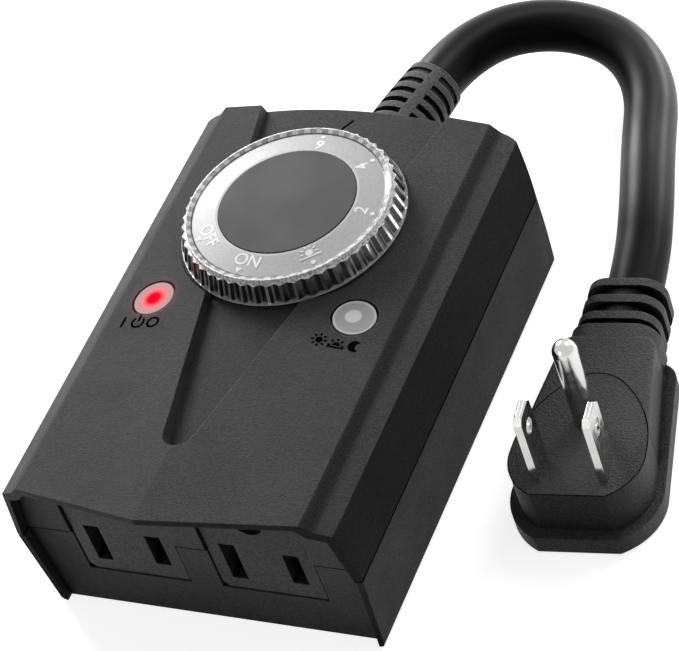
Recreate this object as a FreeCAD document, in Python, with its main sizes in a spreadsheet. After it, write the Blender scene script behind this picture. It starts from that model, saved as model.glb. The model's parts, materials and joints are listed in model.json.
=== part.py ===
import FreeCAD, Part
import math
import os
import Sketcher

# Outdoor plug-in timer: a two-outlet box with a turning dial, two round lenses and a short cord with a
# right-angle plug. Millimetres. X is across the box, Y runs along it towards the cord, Z stands out of
# the dial face. The origin is the bottom centre of the box, which lies on its flat back.

DRIVING_SIZES = [
    # box outline
    ("box_length", 107.5, "hood tip to cord end"),
    ("box_width", 71.7, "across the parting line, the widest place"),
    ("parting_height", 20.4, "plane where the two covers meet"),
    ("back_taper", 1.65, "how much narrower each side is at the flat back"),
    ("shoulder_inset", 1.95, "side wall's lean from the parting line to the shoulder"),
    ("shoulder_height", 33.2, "outer edge of the shoulder strip"),
    ("strip_width", 3.0, "shoulder strip, across"),
    ("strip_rise", 1.6, "shoulder strip, height gained inwards"),
    ("groove_width", 2.0, "sloped step from strip to panel, across"),
    ("groove_rise", 2.1, "sloped step from strip to panel, height"),
    ("ridge_rise", 4.1, "centre line above the panel's outer edge"),
    ("hood_reach", 10.7, "hood tip in front of the end wall"),
    ("hood_corner_reach", 4.4, "hood in front of the end wall at the panel's corner"),
    ("hood_shoulder_reach", 3.0, "the same at the shoulder"),
    ("hood_side_reach", 2.4, "the same at the parting line"),
    ("rear_lip_reach", 1.6, "rear cover's side lip at the flat back"),
    ("plan_radius", 4.0, "rounding of the cord end's corners in plan"),
    ("back_edge_radius", 1.2, "rounding of the long edges of the flat back"),
    ("parting_groove", 0.35, "v-groove between the covers, half its width"),
    ("wall", 2.0, "cover walls"),
    ("hood_wall", 1.3, "hood and side lips"),
    ("end_wall_step", 0.4, "front cover's end wall stands proud of the rear one"),
    # tapering recess in the top
    ("recess_tip_back", 10.2, "centre of the recess's round tip, behind the end wall"),
    ("recess_tip_radius", 3.1, "round tip"),
    ("recess_spread", 0.199, "sideways per length of each recess wall"),
    ("recess_lean", 1.2, "foot of the recess wall inside its top edge"),
    ("recess_floor_height", 38.2, "crown of the recess floor"),
    ("recess_floor_radius", 105.0, "arch of the recess floor, across"),
    ("index_mark_length", 3.9, "engraved mark behind the dial"),
    ("index_mark_width", 0.6, "its width"),
    ("index_mark_depth", 0.4, "its depth"),
    ("index_mark_end_gap", 5.9, "its near end in front of the cord end"),
    ("index_mark_turn", 30.0, "degrees from the box's length towards +X"),
    # dial
    ("dial_share", 0.67872, "dial centre behind the end wall, share of the closed length"),
    ("knob_radius", 22.3, "over the teeth, at the skirt's foot"),
    ("knob_shoulder_radius", 21.3, "over the teeth, at their tops"),
    ("knob_rim_radius", 20.4, "smooth rim that stands above the teeth"),
    ("knob_gap", 0.7, "under the skirt"),
    ("knob_foot_height", 0.3, "plain ring under the teeth"),
    ("knob_foot_lip", 0.1, "the same, beyond the teeth"),
    ("knob_shoulder_height", 3.9, "skirt foot to the tops of the teeth"),
    ("knob_rim_height", 4.8, "skirt foot to the smooth rim"),
    ("knob_collar_height", 5.05, "skirt foot to the collar round the disc"),
    ("knob_height", 5.2, "skirt foot to the disc's face"),
    ("knob_wall", 1.6, "skirt and top of the clear knob"),
    ("knurl_depth", 0.65, "tooth tip to root"),
    ("knob_rim_lean", 0.2, "foot of the smooth rim outside its top edge"),
    ("knob_rim_width", 0.25, "flat top of the smooth rim"),
    ("face_radius", 19.0, "where the sloping face ends"),
    ("face_drop", 0.5, "end of the sloping face under the rim"),
    ("disc_radius", 13.65, "dark centre disc"),
    ("disc_collar", 0.6, "collar round the disc, across"),
    ("disc_thickness", 1.2, "dark centre disc"),
    ("shaft_radius", 3.0, "dial shaft"),
    ("shaft_clearance", 0.06, "dial shaft in its holes, radial"),
    ("well_clearance", 0.7, "round cut in the panels beside the knob, radial"),
    # lenses
    ("lens_side_share", 0.73356, "lens centres beside the centre line, share of the panel's width"),
    ("lens_share", 0.45093, "lens centres behind the end wall, share of the closed length"),
    ("lens_radius", 4.1, "visible lens"),
    ("lens_gap", 0.45, "dark gap round each lens"),
    ("lens_thickness", 2.4, "from the panel down"),
    ("lens_flange", 0.9, "hidden flange, beyond the hole"),
    ("lens_seat", 2.3, "flange's top under the panel"),
    # outlets
    ("outlet_pitch", 28.5, "centre to centre"),
    ("face_width", 21.3, "outlet face"),
    ("face_low", 9.9, "bottom edge of the outlet face above the back"),
    ("face_high", 33.6, "top edge of the outlet face"),
    ("face_gap", 0.35, "gap round the outlet face"),
    ("face_depth", 22.0, "front to back of the outlet block"),
    ("face_chamfer", 1.2, "cut corner at the lower left"),
    ("block_flange", 1.2, "outlet block's flange behind the end wall, beyond the face"),
    ("block_flange_thickness", 2.4, "along the box"),
    ("slot_spacing", 12.7, "blade slots, centre to centre"),
    ("slot_height", 17.6, "middle of the slots above the back"),
    ("slot_width", 3.3, "blade slots"),
    ("long_slot", 9.8, "longer blade slot"),
    ("short_slot", 8.1, "shorter blade slot"),
    ("ground_offset", 11.9, "ground hole above the slots"),
    ("ground_hole_radius", 3.1, "ground hole in the face"),
    ("blade_gap", 1.9, "between a contact's two leaves"),
    ("leaf_thickness", 0.6, "contact metal"),
    ("strip_height", 2.2, "strip that joins two contacts"),
    ("sleeve_bore", 2.45, "ground contact's inside radius"),
    # board and what stands on it
    ("board_side_gap", 11.85, "board's long edges inside the parting line's sides"),
    ("board_front_gap", 5.35, "board's front edge behind the contact strips"),
    ("board_back_share", 0.8678, "board's back edge, share of the closed length"),
    ("board_height", 22.0, "board's underside above the back"),
    ("board_thickness", 1.6, "circuit board"),
    ("relay_width", 15.5, "across the box"),
    ("relay_length", 19.0, "along the box"),
    ("relay_height", 15.5, "under the board"),
    ("relay_side_share", 0.448, "relay's middle beside the centre line, share of the board's half width"),
    ("mains_capacitor_width", 8.0, "across the box"),
    ("mains_capacitor_length", 17.5, "along the box"),
    ("mains_capacitor_height", 14.0, "under the board"),
    ("mains_capacitor_side_share", 0.3125, "its middle beside the centre line, share as above"),
    ("big_parts_before_dial", 6.1, "middles of relay and mains capacitor in front of the dial's centre"),
    ("smoothing_radius", 4.0, "smoothing capacitor"),
    ("smoothing_height", 12.0, "under the board"),
    ("smoothing_side_share", 0.75, "its middle beside the centre line, share as above"),
    ("smoothing_edge_gap", 15.2, "its middle behind the board's front edge"),
    ("varistor_radius", 4.4, "varistor"),
    ("varistor_thickness", 3.5, "varistor"),
    ("varistor_side_share", 0.77, "its middle beside the centre line, share as above"),
    ("varistor_before_dial", 5.25, "its middle in front of the dial's centre"),
    ("varistor_drop", 7.5, "its middle under the board"),
    ("lead_radius", 0.4, "leads of the varistor and the photocell"),
    ("chip_length", 10.0, "control chip, across the box"),
    ("chip_width", 4.0, "control chip"),
    ("chip_height", 1.6, "control chip"),
    ("chip_edge_gap", 6.9, "its middle behind the board's front edge"),
    ("chip_pin_pitch", 1.27, "control chip's pins"),
    ("chip_pin_width", 0.4, "control chip's pins"),
    ("post_radius", 3.2, "posts that carry the board"),
    ("post_edge_gap", 3.5, "posts inside the board's long edges, front posts inside its front edge"),
    ("rear_post_share", 0.8265, "rear posts behind the end wall, share of the closed length"),
    ("board_screw_radius", 1.2, "board screws"),
    ("boss_radius", 3.5, "cover screw bosses"),
    ("boss_side_gap", 6.85, "bosses inside the parting line's sides"),
    ("front_boss_share", 0.31, "front bosses behind the end wall, share of the closed length"),
    ("rear_boss_share", 0.8988, "rear bosses behind the end wall, share of the closed length"),
    ("cover_screw_radius", 1.45, "cover screws"),
    ("screw_head_radius", 2.8, "heads of all screws"),
    ("screw_head_height", 2.0, "heads of all screws"),
    ("screw_play", 0.15, "screws in their holes, radial"),
    ("spring_thickness", 0.35, "detent spring"),
    ("seal_width", 0.8, "seal cord between the covers"),
    ("seal_height", 1.0, "seal cord between the covers"),
    # cord and its strain relief at the box
    ("cord_radius", 5.5, "cord jacket"),
    ("relief_length", 27.2, "along its bend"),
    ("relief_bend_radius", 127.0, "bend towards +X"),
    ("relief_base_radius", 7.8, "at the box"),
    ("relief_end_radius", 6.15, "at the cord"),
    ("relief_core_radius", 5.75, "bottom of the slots"),
    ("relief_neck_radius", 6.6, "through the cord end's wall"),
    ("relief_flange_radius", 8.4, "inside the wall"),
    ("relief_flange_thickness", 2.2, "inside the wall"),
    ("relief_slot_pitch", 3.15, "slot rows"),
    ("relief_slot_width", 1.5, "slots, along the cord"),
    ("relief_spine_width", 2.2, "spines between the slots"),
    ("relief_spine_turn", 19.0, "first spine, degrees from +X"),
    ("relief_end_band", 1.7, "plain ring after the last slot"),
    ("wire_radius", 1.35, "insulated wires inside"),
    ("wire_side", 12.0, "wires to the buses beside the centre line"),
    ("wire_floor_gap", 0.85, "ground wire over the back's inside"),
    # plug, lying on its back
    ("plug_across", 62.3, "blade line's middle beside the box's centre line"),
    ("plug_back", 33.4, "blade line's middle behind the end wall"),
    ("plug_turn", 6.5, "degrees about Z"),
    ("plug_thickness", 14.0, "back to prong face"),
    ("plug_flange_height", 4.2, "wide base"),
    ("core_flat_half", 7.15, "half of the face's straight edge"),
    ("core_flat_front", 6.3, "straight edge in front of the blade line"),
    ("core_half", 12.8, "face at its widest"),
    ("core_wide_back", 4.5, "widest place behind the blade line"),
    ("core_shoulder_half", 5.5, "where the round top begins"),
    ("core_shoulder_back", 20.8, "where the round top begins"),
    ("core_top_back", 23.2, "top of the egg outline"),
    ("flange_margin", 1.7, "base beyond the face, all round"),
    ("jacket_end_half", 9.2, "jacket's half width at the neck"),
    ("jacket_end_back", 33.0, "jacket's end behind the blade line"),
    ("neck_radius", 6.1, "neck between the ribs"),
    ("neck_end_back", 47.8, "end of the last rib"),
    ("neck_axis_height", 7.0, "cord's axis in the plug"),
    ("rib_half", 8.2, "ribs, half width"),
    ("rib_half_height", 6.95, "ribs, half height"),
    ("rib_pitch", 4.3, "ribs along the cord"),
    ("rib_thickness", 1.9, "ribs along the cord"),
    ("blade_thickness", 1.5, "blades"),
    ("blade_width", 6.35, "blades"),
    ("blade_length", 16.3, "blades above the face"),
    ("blade_hole_radius", 1.6, "hole near the tip"),
    ("blade_hole_from_tip", 4.6, "hole's centre"),
    ("pin_radius", 2.38, "ground pin"),
    ("pin_length", 20.8, "ground pin above the face"),
    ("prong_root", 8.0, "prongs inside the plug"),
    ("pin_root_radius", 3.0, "ground pin inside the plug"),
    ("pin_neck_radius", 2.1, "narrow neck of the ground pin just inside the plug"),
    ("pin_neck_length", 1.2, "neck between the plug's face and the pin's wider root"),
]

KNURL_TEETH = 50
RELIEF_SLOT_ROWS = 8
NECK_RIBS = 3

doc = FreeCAD.newDocument("OutdoorTimer")
sheet = doc.addObject("Spreadsheet::Sheet", "dims")
for row, (alias, number, meaning) in enumerate(DRIVING_SIZES, start=1):
    sheet.set(f"A{row}", alias)
    sheet.set(f"B{row}", str(number))
    sheet.setAlias(f"B{row}", alias)
    sheet.set(f"C{row}", meaning)
doc.recompute()


class Size:
    """A length with the sheet formula that gives it."""

    def __init__(self, value, formula):
        self.value = value
        self.formula = formula

    def __add__(self, other):
        return combine(self, "+", other, self.value + number_of(other))

    def __radd__(self, other):
        return combine(other, "+", self, number_of(other) + self.value)

    def __sub__(self, other):
        return combine(self, "-", other, self.value - number_of(other))

    def __rsub__(self, other):
        return combine(other, "-", self, number_of(other) - self.value)

    def __mul__(self, other):
        return combine(self, "*", other, self.value * number_of(other))

    def __rmul__(self, other):
        return combine(other, "*", self, number_of(other) * self.value)

    def __truediv__(self, other):
        return combine(self, "/", other, self.value / number_of(other))

    def __rtruediv__(self, other):
        return combine(other, "/", self, number_of(other) / self.value)


def number_of(size):
    return size.value if isinstance(size, Size) else float(size)


def formula_of(size):
    return size.formula if isinstance(size, Size) else repr(float(size))


def combine(left, sign, right, value):
    return Size(value, f"({formula_of(left)} {sign} {formula_of(right)})")


def root_of(size):
    return Size(math.sqrt(size.value), f"sqrt({size.formula})")


def dim(alias):
    return Size(float(sheet.get(alias)), f"dims.{alias}")


def bind(thing, prop, size):
    """Give a property its size, through the sheet where it depends on it."""
    if isinstance(size, Size):
        thing.setExpression(prop, size.formula)
    else:
        setattr(thing, prop, float(size))


def place(thing, x, y, z, rotation=None):
    thing.Placement = FreeCAD.Placement(
        FreeCAD.Vector(number_of(x), number_of(y), number_of(z)), rotation or FreeCAD.Rotation())
    for axis, size in (("x", x), ("y", y), ("z", z)):
        if isinstance(size, Size):
            thing.setExpression(f"Placement.Base.{axis}", size.formula)
    return thing


TURN_TO = {
    "z": FreeCAD.Rotation(),
    "y": FreeCAD.Rotation(FreeCAD.Vector(1, 0, 0), -90),
    "x": FreeCAD.Rotation(FreeCAD.Vector(0, 1, 0), 90),
}


def block(name, x, y, z):
    """A box from three (low, high) pairs."""
    box = doc.addObject("Part::Box", name)
    for prop, (low, high) in (("Length", x), ("Width", y), ("Height", z)):
        bind(box, prop, high - low)
    return place(box, x[0], y[0], z[0])


def rod(name, radius, length, x, y, z, axis="z"):
    """A cylinder that starts at a point and runs along an axis."""
    cylinder = doc.addObject("Part::Cylinder", name)
    bind(cylinder, "Radius", radius)
    bind(cylinder, "Height", length)
    return place(cylinder, x, y, z, TURN_TO[axis])


SKETCH_PLANES = {
    "XY": (FreeCAD.Rotation(), FreeCAD.Vector(0, 0, 1)),
    "XZ": (FreeCAD.Rotation(FreeCAD.Vector(1, 0, 0), 90), FreeCAD.Vector(0, 1, 0)),
    "YZ": (FreeCAD.Rotation(FreeCAD.Vector(1, 1, 1), 120), FreeCAD.Vector(1, 0, 0)),
}


def sketch(name, plane, corners, offset):
    """A closed outline of straight lines whose corners are bound to the sheet."""
    outline = doc.addObject("Sketcher::SketchObject", name)
    shift = {"XY": (0, 0, offset), "XZ": (0, offset, 0), "YZ": (offset, 0, 0)}[plane]
    place(outline, *shift, SKETCH_PLANES[plane][0])
    points = [FreeCAD.Vector(number_of(u), number_of(v), 0) for u, v in corners]
    count = len(points)
    for index in range(count):
        outline.addGeometry(Part.LineSegment(points[index], points[(index + 1) % count]), False)
    for index in range(count):
        outline.addConstraint(Sketcher.Constraint("Coincident", index, 2, (index + 1) % count, 1))
    for index, corner in enumerate(corners):
        for kind, prefix, size in (("DistanceX", "u", corner[0]), ("DistanceY", "v", corner[1])):
            where = outline.addConstraint(
                Sketcher.Constraint(kind, -1, 1, index, 1, number_of(size)))
            outline.renameConstraint(where, f"{prefix}{index}")
            if isinstance(size, Size):
                outline.setExpression(f"Constraints.{prefix}{index}", size.formula)
    return outline


def prism(name, plane, corners, low, high):
    """A straight prism between two offsets along the plane's normal."""
    solid = doc.addObject("Part::Extrusion", name)
    solid.Base = sketch(f"{name}_outline", plane, corners, low)
    solid.DirMode = "Custom"
    solid.Dir = SKETCH_PLANES[plane][1]
    solid.Solid = True
    bind(solid, "LengthFwd", high - low)
    return solid


def cut(name, base, tool):
    result = doc.addObject("Part::Cut", name)
    result.Base = base
    result.Tool = tool
    result.Refine = True
    return result


def join(name, *pieces):
    result = doc.addObject("Part::MultiFuse", name)
    result.Shapes = list(pieces)
    result.Refine = True
    return result


def meet(name, *pieces):
    result = doc.addObject("Part::MultiCommon", name)
    result.Shapes = list(pieces)
    result.Refine = True
    return result


def rounded(name, base, radius, wanted):
    """Fillet the edges of a solid that the test picks."""
    doc.recompute()
    result = doc.addObject("Part::Fillet", name)
    result.Base = base
    reach = number_of(radius)
    result.Edges = [
        (index, reach, reach)
        for index, edge in enumerate(base.Shape.Edges, start=1) if wanted(edge)]
    return result


def feature(name, shape):
    """A sub-part or tool whose shape is made here from the sheet's sizes."""
    result = doc.addObject("Part::Feature", name)
    result.Shape = shape
    return result


def runs_along(edge, direction):
    if edge.Curve.TypeId != "Part::GeomLine":
        return False
    return abs(abs(edge.Curve.Direction.dot(direction)) - 1) < 1e-6


def mirrored(corners):
    """Close an outline that is given for +X only, from bottom to top."""
    return corners + [(-1 * u, v) for u, v in reversed(corners) if number_of(u) != 0]


# Places that several pieces share
half_width = dim("box_width") / 2
tip_y = -1 * dim("box_length") / 2
back_y = dim("box_length") / 2
wall = dim("wall")
end_y = tip_y + dim("hood_reach")
parting_z = dim("parting_height")
back_half = half_width - dim("back_taper")
shoulder_half = half_width - dim("shoulder_inset")
shoulder_z = dim("shoulder_height")
groove_half = shoulder_half - dim("strip_width")
groove_z = shoulder_z + dim("strip_rise")
panel_half = groove_half - dim("groove_width")
panel_z = groove_z + dim("groove_rise")
ridge_z = panel_z + dim("ridge_rise")
panel_slope = dim("ridge_rise") / panel_half
closed_length = back_y - end_y
lens_side = panel_half * dim("lens_side_share")
board_side = half_width - dim("board_side_gap")
boss_side = half_width - dim("boss_side_gap")
post_side = board_side - dim("post_edge_gap")
knob_low_z = dim("recess_floor_height") + dim("knob_gap")
knob_top_z = knob_low_z + dim("knob_height")
board_top_z = dim("board_height") + dim("board_thickness")
shaft_hole = dim("shaft_radius") + dim("shaft_clearance")
relief_hole = dim("relief_neck_radius")
face_y = end_y + dim("end_wall_step") / 2
block_back_y = face_y + dim("face_depth")
strip_front_y = block_back_y + dim("face_gap")
strip_back_y = strip_front_y + dim("leaf_thickness")
board_front_y = strip_back_y + dim("board_front_gap")
SPARE = 1.0


def behind(alias):
    """A place behind the end wall, from its share of the closed length."""
    return end_y + closed_length * dim(alias)


dial_y = behind("dial_share")
lens_y = behind("lens_share")


def about(middle, whole):
    """A (low, high) pair from a middle and a whole size."""
    return (middle - whole / 2, middle + whole / 2)


# Profiles across the box
skirt_z = parting_z - SPARE * 6
skirt_half = half_width + dim("shoulder_inset") * ((parting_z - skirt_z) / (shoulder_z - parting_z))
top_profile = mirrored([
    (skirt_half, skirt_z),
    (shoulder_half, shoulder_z),
    (groove_half, groove_z),
    (panel_half, panel_z),
    (0, ridge_z),
])
rear_profile = mirrored([
    (back_half, 0),
    (half_width, parting_z),
])

hood_plan = mirrored([
    (0, tip_y),
    (panel_half, end_y - dim("hood_corner_reach")),
    (shoulder_half, end_y - dim("hood_shoulder_reach")),
    (half_width, end_y - dim("hood_side_reach")),
    (half_width, back_y),
])


def plan_corners(inset, front):
    """Plan outline of the closed part of the box, inset all round, from a front line."""
    side = half_width - inset
    rear = back_y - inset
    return [(side, front), (side, rear), (-1 * side, rear), (-1 * side, front)]


def plan_prism(name, corners, low, high):
    """A plan outline between two heights, with round corners at the cord end."""
    rear = max(number_of(v) for _, v in corners) - 0.01

    def is_rear_corner(edge):
        return runs_along(edge, FreeCAD.Vector(0, 0, 1)) and edge.CenterOfMass.y > rear

    solid = prism(f"{name}_square", "XY", corners, low, high)
    return rounded(name, solid, dim("plan_radius"), is_rear_corner)


def parting_chamfer(name, base):
    """Break the outer edges at the parting plane, so that the two covers meet in a v-groove."""
    doc.recompute()
    level = number_of(parting_z)
    result = doc.addObject("Part::Chamfer", name)
    result.Base = base
    size = dim("parting_groove").value
    result.Edges = [
        (index, size, size)
        for index, edge in enumerate(base.Shape.Edges, start=1)
        if abs(edge.BoundBox.ZMin - level) < 1e-6 and abs(edge.BoundBox.ZMax - level) < 1e-6
        and edge.CenterOfMass.y > end_y.value]
    return result


def inner_top_profile(amount):
    """The top profile moved in by a wall, with its ceiling parallel to the sloping panels."""
    return mirrored([
        (skirt_half - amount, skirt_z),
        (shoulder_half - amount, shoulder_z - amount),
        (groove_half - amount, groove_z - amount),
        (panel_half - amount, panel_z - amount + panel_slope * amount),
        (0, ridge_z - amount),
    ])


def seat_surface(x):
    """Height of the sloping panels at a place across the box."""
    return ridge_z.value - panel_slope.value * abs(x)


def recess_solid(name, grow):
    """The tapering recess above its arched floor, or the backing that is larger by a wall."""
    lean = dim("recess_lean").value / (ridge_z.value - dim("recess_floor_height").value)
    spread = dim("recess_spread").value
    tip_y_here = end_y.value + dim("recess_tip_back").value
    tip_radius = dim("recess_tip_radius").value
    across = math.sqrt(1 + spread * spread)
    rear = back_y.value + SPARE
    rear_half = tip_radius * across + spread * (rear - tip_y_here)

    def outline(height):
        near = grow + (height - seat_surface(tip_radius)) * lean
        far = grow + (height - seat_surface(rear_half)) * lean
        radius = tip_radius + near
        corner = FreeCAD.Vector(radius / across, tip_y_here - radius * spread / across, height)
        corner_left = FreeCAD.Vector(-corner.x, corner.y, height)
        end = FreeCAD.Vector(rear_half + far, rear, height)
        end_left = FreeCAD.Vector(-end.x, rear, height)
        tip = FreeCAD.Vector(0, tip_y_here - radius, height)
        return Part.Wire([
            Part.Arc(corner_left, tip, corner).toShape(),
            Part.makeLine(corner, end),
            Part.makeLine(end, end_left),
            Part.makeLine(end_left, corner_left),
        ])

    floor_radius = dim("recess_floor_radius").value
    floor_height = dim("recess_floor_height").value - grow
    low = floor_height - (rear_half + grow) * (rear_half + grow) / floor_radius
    walls = Part.makeLoft([outline(low), outline(ridge_z.value + SPARE)], True, True)
    below = Part.makeCylinder(
        floor_radius, 2 * dim("box_length").value,
        FreeCAD.Vector(0, -dim("box_length").value, floor_height - floor_radius),
        FreeCAD.Vector(0, 1, 0))
    return feature(name, walls.cut(below))


def at_four(name, radius, low, high, side, *places):
    """Upright cylinders at both sides of the centre line, at each place along the box."""
    return [
        rod(f"{name}_{count}_{hand}", radius, high - low, hand * side, place_y, low)
        for count, place_y in enumerate(places) for hand in (1, -1)]


boss_places = (behind("front_boss_share"), behind("rear_boss_share"))
post_places = (board_front_y + dim("post_edge_gap"), behind("rear_post_share"))
screw_seat_z = wall + dim("seal_height") * 1.2
cover_screw_top = board_top_z + dim("cover_screw_radius") * 4
lens_hole = dim("lens_radius") + dim("lens_gap")
slant = root_of(1 + panel_slope * panel_slope)
slant_x = panel_slope / slant
slant_z = 1 / slant
lens_surface_z = ridge_z - panel_slope * lens_side
face_half = dim("face_width") / 2
outlet_side = dim("outlet_pitch") / 2
relief_base = FreeCAD.Vector(0, back_y.value, parting_z.value)


def on_panel(name, radius, low, high, side):
    """A cylinder square to the sloping panel at a lens, from one depth under its surface to another."""
    lean = FreeCAD.Rotation(FreeCAD.Vector(0, 1, 0), side * math.degrees(math.atan(panel_slope.value)))
    body = rod(name, radius, high - low, 0, 0, 0)
    return place(
        body, side * (lens_side + slant_x * low), lens_y, lens_surface_z + slant_z * low, lean)


def outlet_openings(name):
    """Openings for both outlet faces, through the end wall."""
    gap = dim("face_gap")
    return [
        block(
            f"{name}_{hand}",
            (hand * outlet_side - face_half - gap, hand * outlet_side + face_half + gap),
            (end_y - SPARE, end_y + wall + SPARE),
            (dim("face_low") - gap, dim("face_high") + gap))
        for hand in (1, -1)]


def relief_opening(name):
    return rod(name, relief_hole, wall + SPARE * 2, 0, back_y - wall - SPARE, parting_z, "y")


def inside(name, profile, low_front):
    """Room inside a cover: a profile across the box, closed by the end wall and the round cord end."""
    room = prism(f"{name}_profile", "XZ", profile, end_y + wall, back_y - wall)
    limit = plan_prism(
        f"{name}_plan", plan_corners(wall, end_y + wall), low_front[0], low_front[1])
    return meet(name, room, limit)


def make_front_cover():
    blank = parting_chamfer("front_chamfered", meet(
        "front_blank",
        prism("front_profile", "XZ", top_profile, tip_y - SPARE, back_y + SPARE),
        plan_prism("front_plan", hood_plan, parting_z, ridge_z + SPARE)))
    platform_radius = dim("knob_radius") - dim("knurl_depth") * 2
    floor_z = dim("recess_floor_height")
    raised = join(
        "front_with_platform",
        cut("front_recessed", blank, recess_solid("recess", 0)),
        rod("platform", platform_radius, wall * 2, 0, dial_y, floor_z - wall * 2))
    well_radius = dim("knob_radius") + dim("well_clearance")
    well = rod("well", well_radius, dim("knob_height") * 2, 0, dial_y, floor_z)
    hood_room = prism(
        "hood_room", "XZ", inner_top_profile(dim("hood_wall")), tip_y - SPARE,
        end_y - dim("end_wall_step"))
    room = cut(
        "front_room", inside("front_inside", inner_top_profile(wall), (skirt_z, ridge_z)),
        join(
            "front_solid_places",
            recess_solid("recess_backing", wall.value),
            rod("well_backing", well_radius + wall, wall * 6, 0, dial_y, floor_z - wall),
            *at_four("front_boss", dim("boss_radius"), skirt_z, ridge_z, boss_side, *boss_places)))
    seal_inset = (wall - dim("seal_width")) / 2 + dim("parting_groove") / 2
    seal_room = seal_ring("seal_room", seal_inset, dim("seal_width"), dim("seal_height"))
    screw_hole = dim("cover_screw_radius") + dim("screw_play")
    mark_turn = FreeCAD.Rotation(FreeCAD.Vector(0, 0, 1), -1 * number_of(dim("index_mark_turn")))
    mark = block(
        "index_mark", (0, dim("index_mark_width")), (0, dim("index_mark_length")),
        (0, dim("index_mark_depth") + SPARE))
    place(
        mark, -1.6 * dim("index_mark_width"), back_y - dim("index_mark_end_gap"),
        floor_z - dim("index_mark_depth"), mark_turn)
    tools = join(
        "front_tools", well, hood_room, room, seal_room, mark,
        rod("dial_hole", shaft_hole, wall * 3, 0, dial_y, floor_z - wall * 2),
        on_panel("lens_hole_right", lens_hole, -3 * wall, wall, 1),
        on_panel("lens_hole_left", lens_hole, -3 * wall, wall, -1),
        relief_opening("front_relief_opening"),
        *outlet_openings("front_outlet"),
        *at_four(
            "front_pilot", screw_hole, skirt_z, cover_screw_top + SPARE, boss_side, *boss_places))
    return cut("front_cover", raised, tools)


def seal_ring(name, margin, width, height):
    """A band in the middle of the rim, round the cord end and along both sides."""
    low, high = parting_z, parting_z + height
    start = end_y + wall + SPARE
    outer = plan_prism(f"{name}_outer", plan_corners(margin, start), low, high)
    inner = plan_prism(
        f"{name}_inner", plan_corners(margin + width, start - SPARE), low - SPARE, high + SPARE)
    break_at_cord = rod(
        f"{name}_cord_place", relief_hole + dim("seal_width") / 2, wall + SPARE * 2,
        0, back_y - wall - SPARE, parting_z, "y")
    return cut(name, outer, join(f"{name}_inside", inner, break_at_cord))


def make_cover_seal():
    margin = (wall - dim("seal_width")) / 2 + dim("parting_groove") / 2
    return seal_ring("cover_seal", margin, dim("seal_width"), dim("seal_height"))


def make_rear_cover():
    def is_long_back_edge(edge):
        return runs_along(edge, FreeCAD.Vector(0, 1, 0)) and abs(edge.CenterOfMass.z) < 1e-6

    profile = rounded(
        "rear_profile_rounded",
        prism("rear_profile", "XZ", rear_profile, tip_y, back_y + SPARE),
        dim("back_edge_radius"), is_long_back_edge)
    lips = prism(
        "rear_lips", "YZ",
        [(end_y - dim("rear_lip_reach"), 0), (back_y + SPARE, 0),
         (back_y + SPARE, parting_z), (end_y - dim("hood_side_reach"), parting_z)],
        -1 * half_width - SPARE, half_width + SPARE)
    blank = parting_chamfer("rear_chamfered", meet(
        "rear_blank", profile, lips,
        plan_prism("rear_plan", hood_plan, -1.0, parting_z)))
    lip_profile = mirrored([
        (back_half - dim("hood_wall"), -1.0),
        (half_width - dim("hood_wall"), parting_z + SPARE)])
    hood_room = prism("rear_hood_room", "XZ", lip_profile, tip_y - SPARE, end_y)
    inner_profile = mirrored([
        (back_half - wall, wall),
        (half_width - wall, parting_z + SPARE)])
    room = inside("rear_room", inner_profile, (0, parting_z + SPARE))
    posts = at_four("rear_boss", dim("boss_radius"), wall / 2, parting_z, boss_side, *boss_places)
    posts += at_four(
        "board_post", dim("post_radius"), wall / 2, dim("board_height"), post_side, *post_places)
    hollow = cut("rear_hollow", blank, join("rear_rooms", hood_room, room))
    screw_hole = dim("cover_screw_radius") + dim("screw_play")
    board_screw_hole = dim("board_screw_radius") + dim("screw_play")
    counterbore = dim("screw_head_radius") + dim("screw_play") * 2
    low = -1.0
    tools = join(
        "rear_tools",
        relief_opening("rear_relief_opening"),
        *outlet_openings("rear_outlet"),
        *at_four("rear_screw_hole", screw_hole, low, parting_z + SPARE, boss_side, *boss_places),
        *at_four("counterbore", counterbore, low, screw_seat_z, boss_side, *boss_places),
        *at_four(
            "board_pilot", board_screw_hole, wall * 4, dim("board_height") + SPARE, post_side,
            *post_places))
    return cut("rear_cover", join("rear_with_posts", hollow, *posts), tools)


def make_cover_screws():
    low = screw_seat_z - dim("screw_head_height")
    heads = at_four(
        "cover_head", dim("screw_head_radius"), low, screw_seat_z, boss_side, *boss_places)
    shanks = at_four(
        "cover_shank", dim("cover_screw_radius"), low, cover_screw_top, boss_side, *boss_places)
    return join("cover_screws", *heads, *shanks)


def make_board():
    plate = block(
        "board_plate", (-1 * board_side, board_side),
        (board_front_y, behind("board_back_share")), (dim("board_height"), board_top_z))
    holes = at_four(
        "board_hole", dim("board_screw_radius") + dim("screw_play"), dim("board_height") - SPARE,
        board_top_z + SPARE, post_side, *post_places)
    return cut("circuit_board", plate, join("board_holes", *holes))


def make_board_screws():
    top = board_top_z + dim("screw_head_height")
    heads = at_four(
        "board_head", dim("screw_head_radius"), board_top_z, top, post_side, *post_places)
    shanks = at_four(
        "board_shank", dim("board_screw_radius"), board_top_z - wall * 5, top, post_side,
        *post_places)
    return join("board_screws", *heads, *shanks)


# Switch under the dial
switch_half = dim("shaft_radius") * 3.7
switch_top_z = dim("recess_floor_height") - wall * 3.1
switch_wall = wall * 0.6
rotor_radius = switch_half - wall
rotor_low_z = board_top_z + switch_wall
rotor_high_z = rotor_low_z + (switch_top_z - switch_wall - rotor_low_z) * 0.66
disc_low_z = knob_top_z - dim("disc_thickness")
shaft_top_z = disc_low_z - wall / 2
notch_radius = dim("shaft_radius") * 0.3


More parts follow.
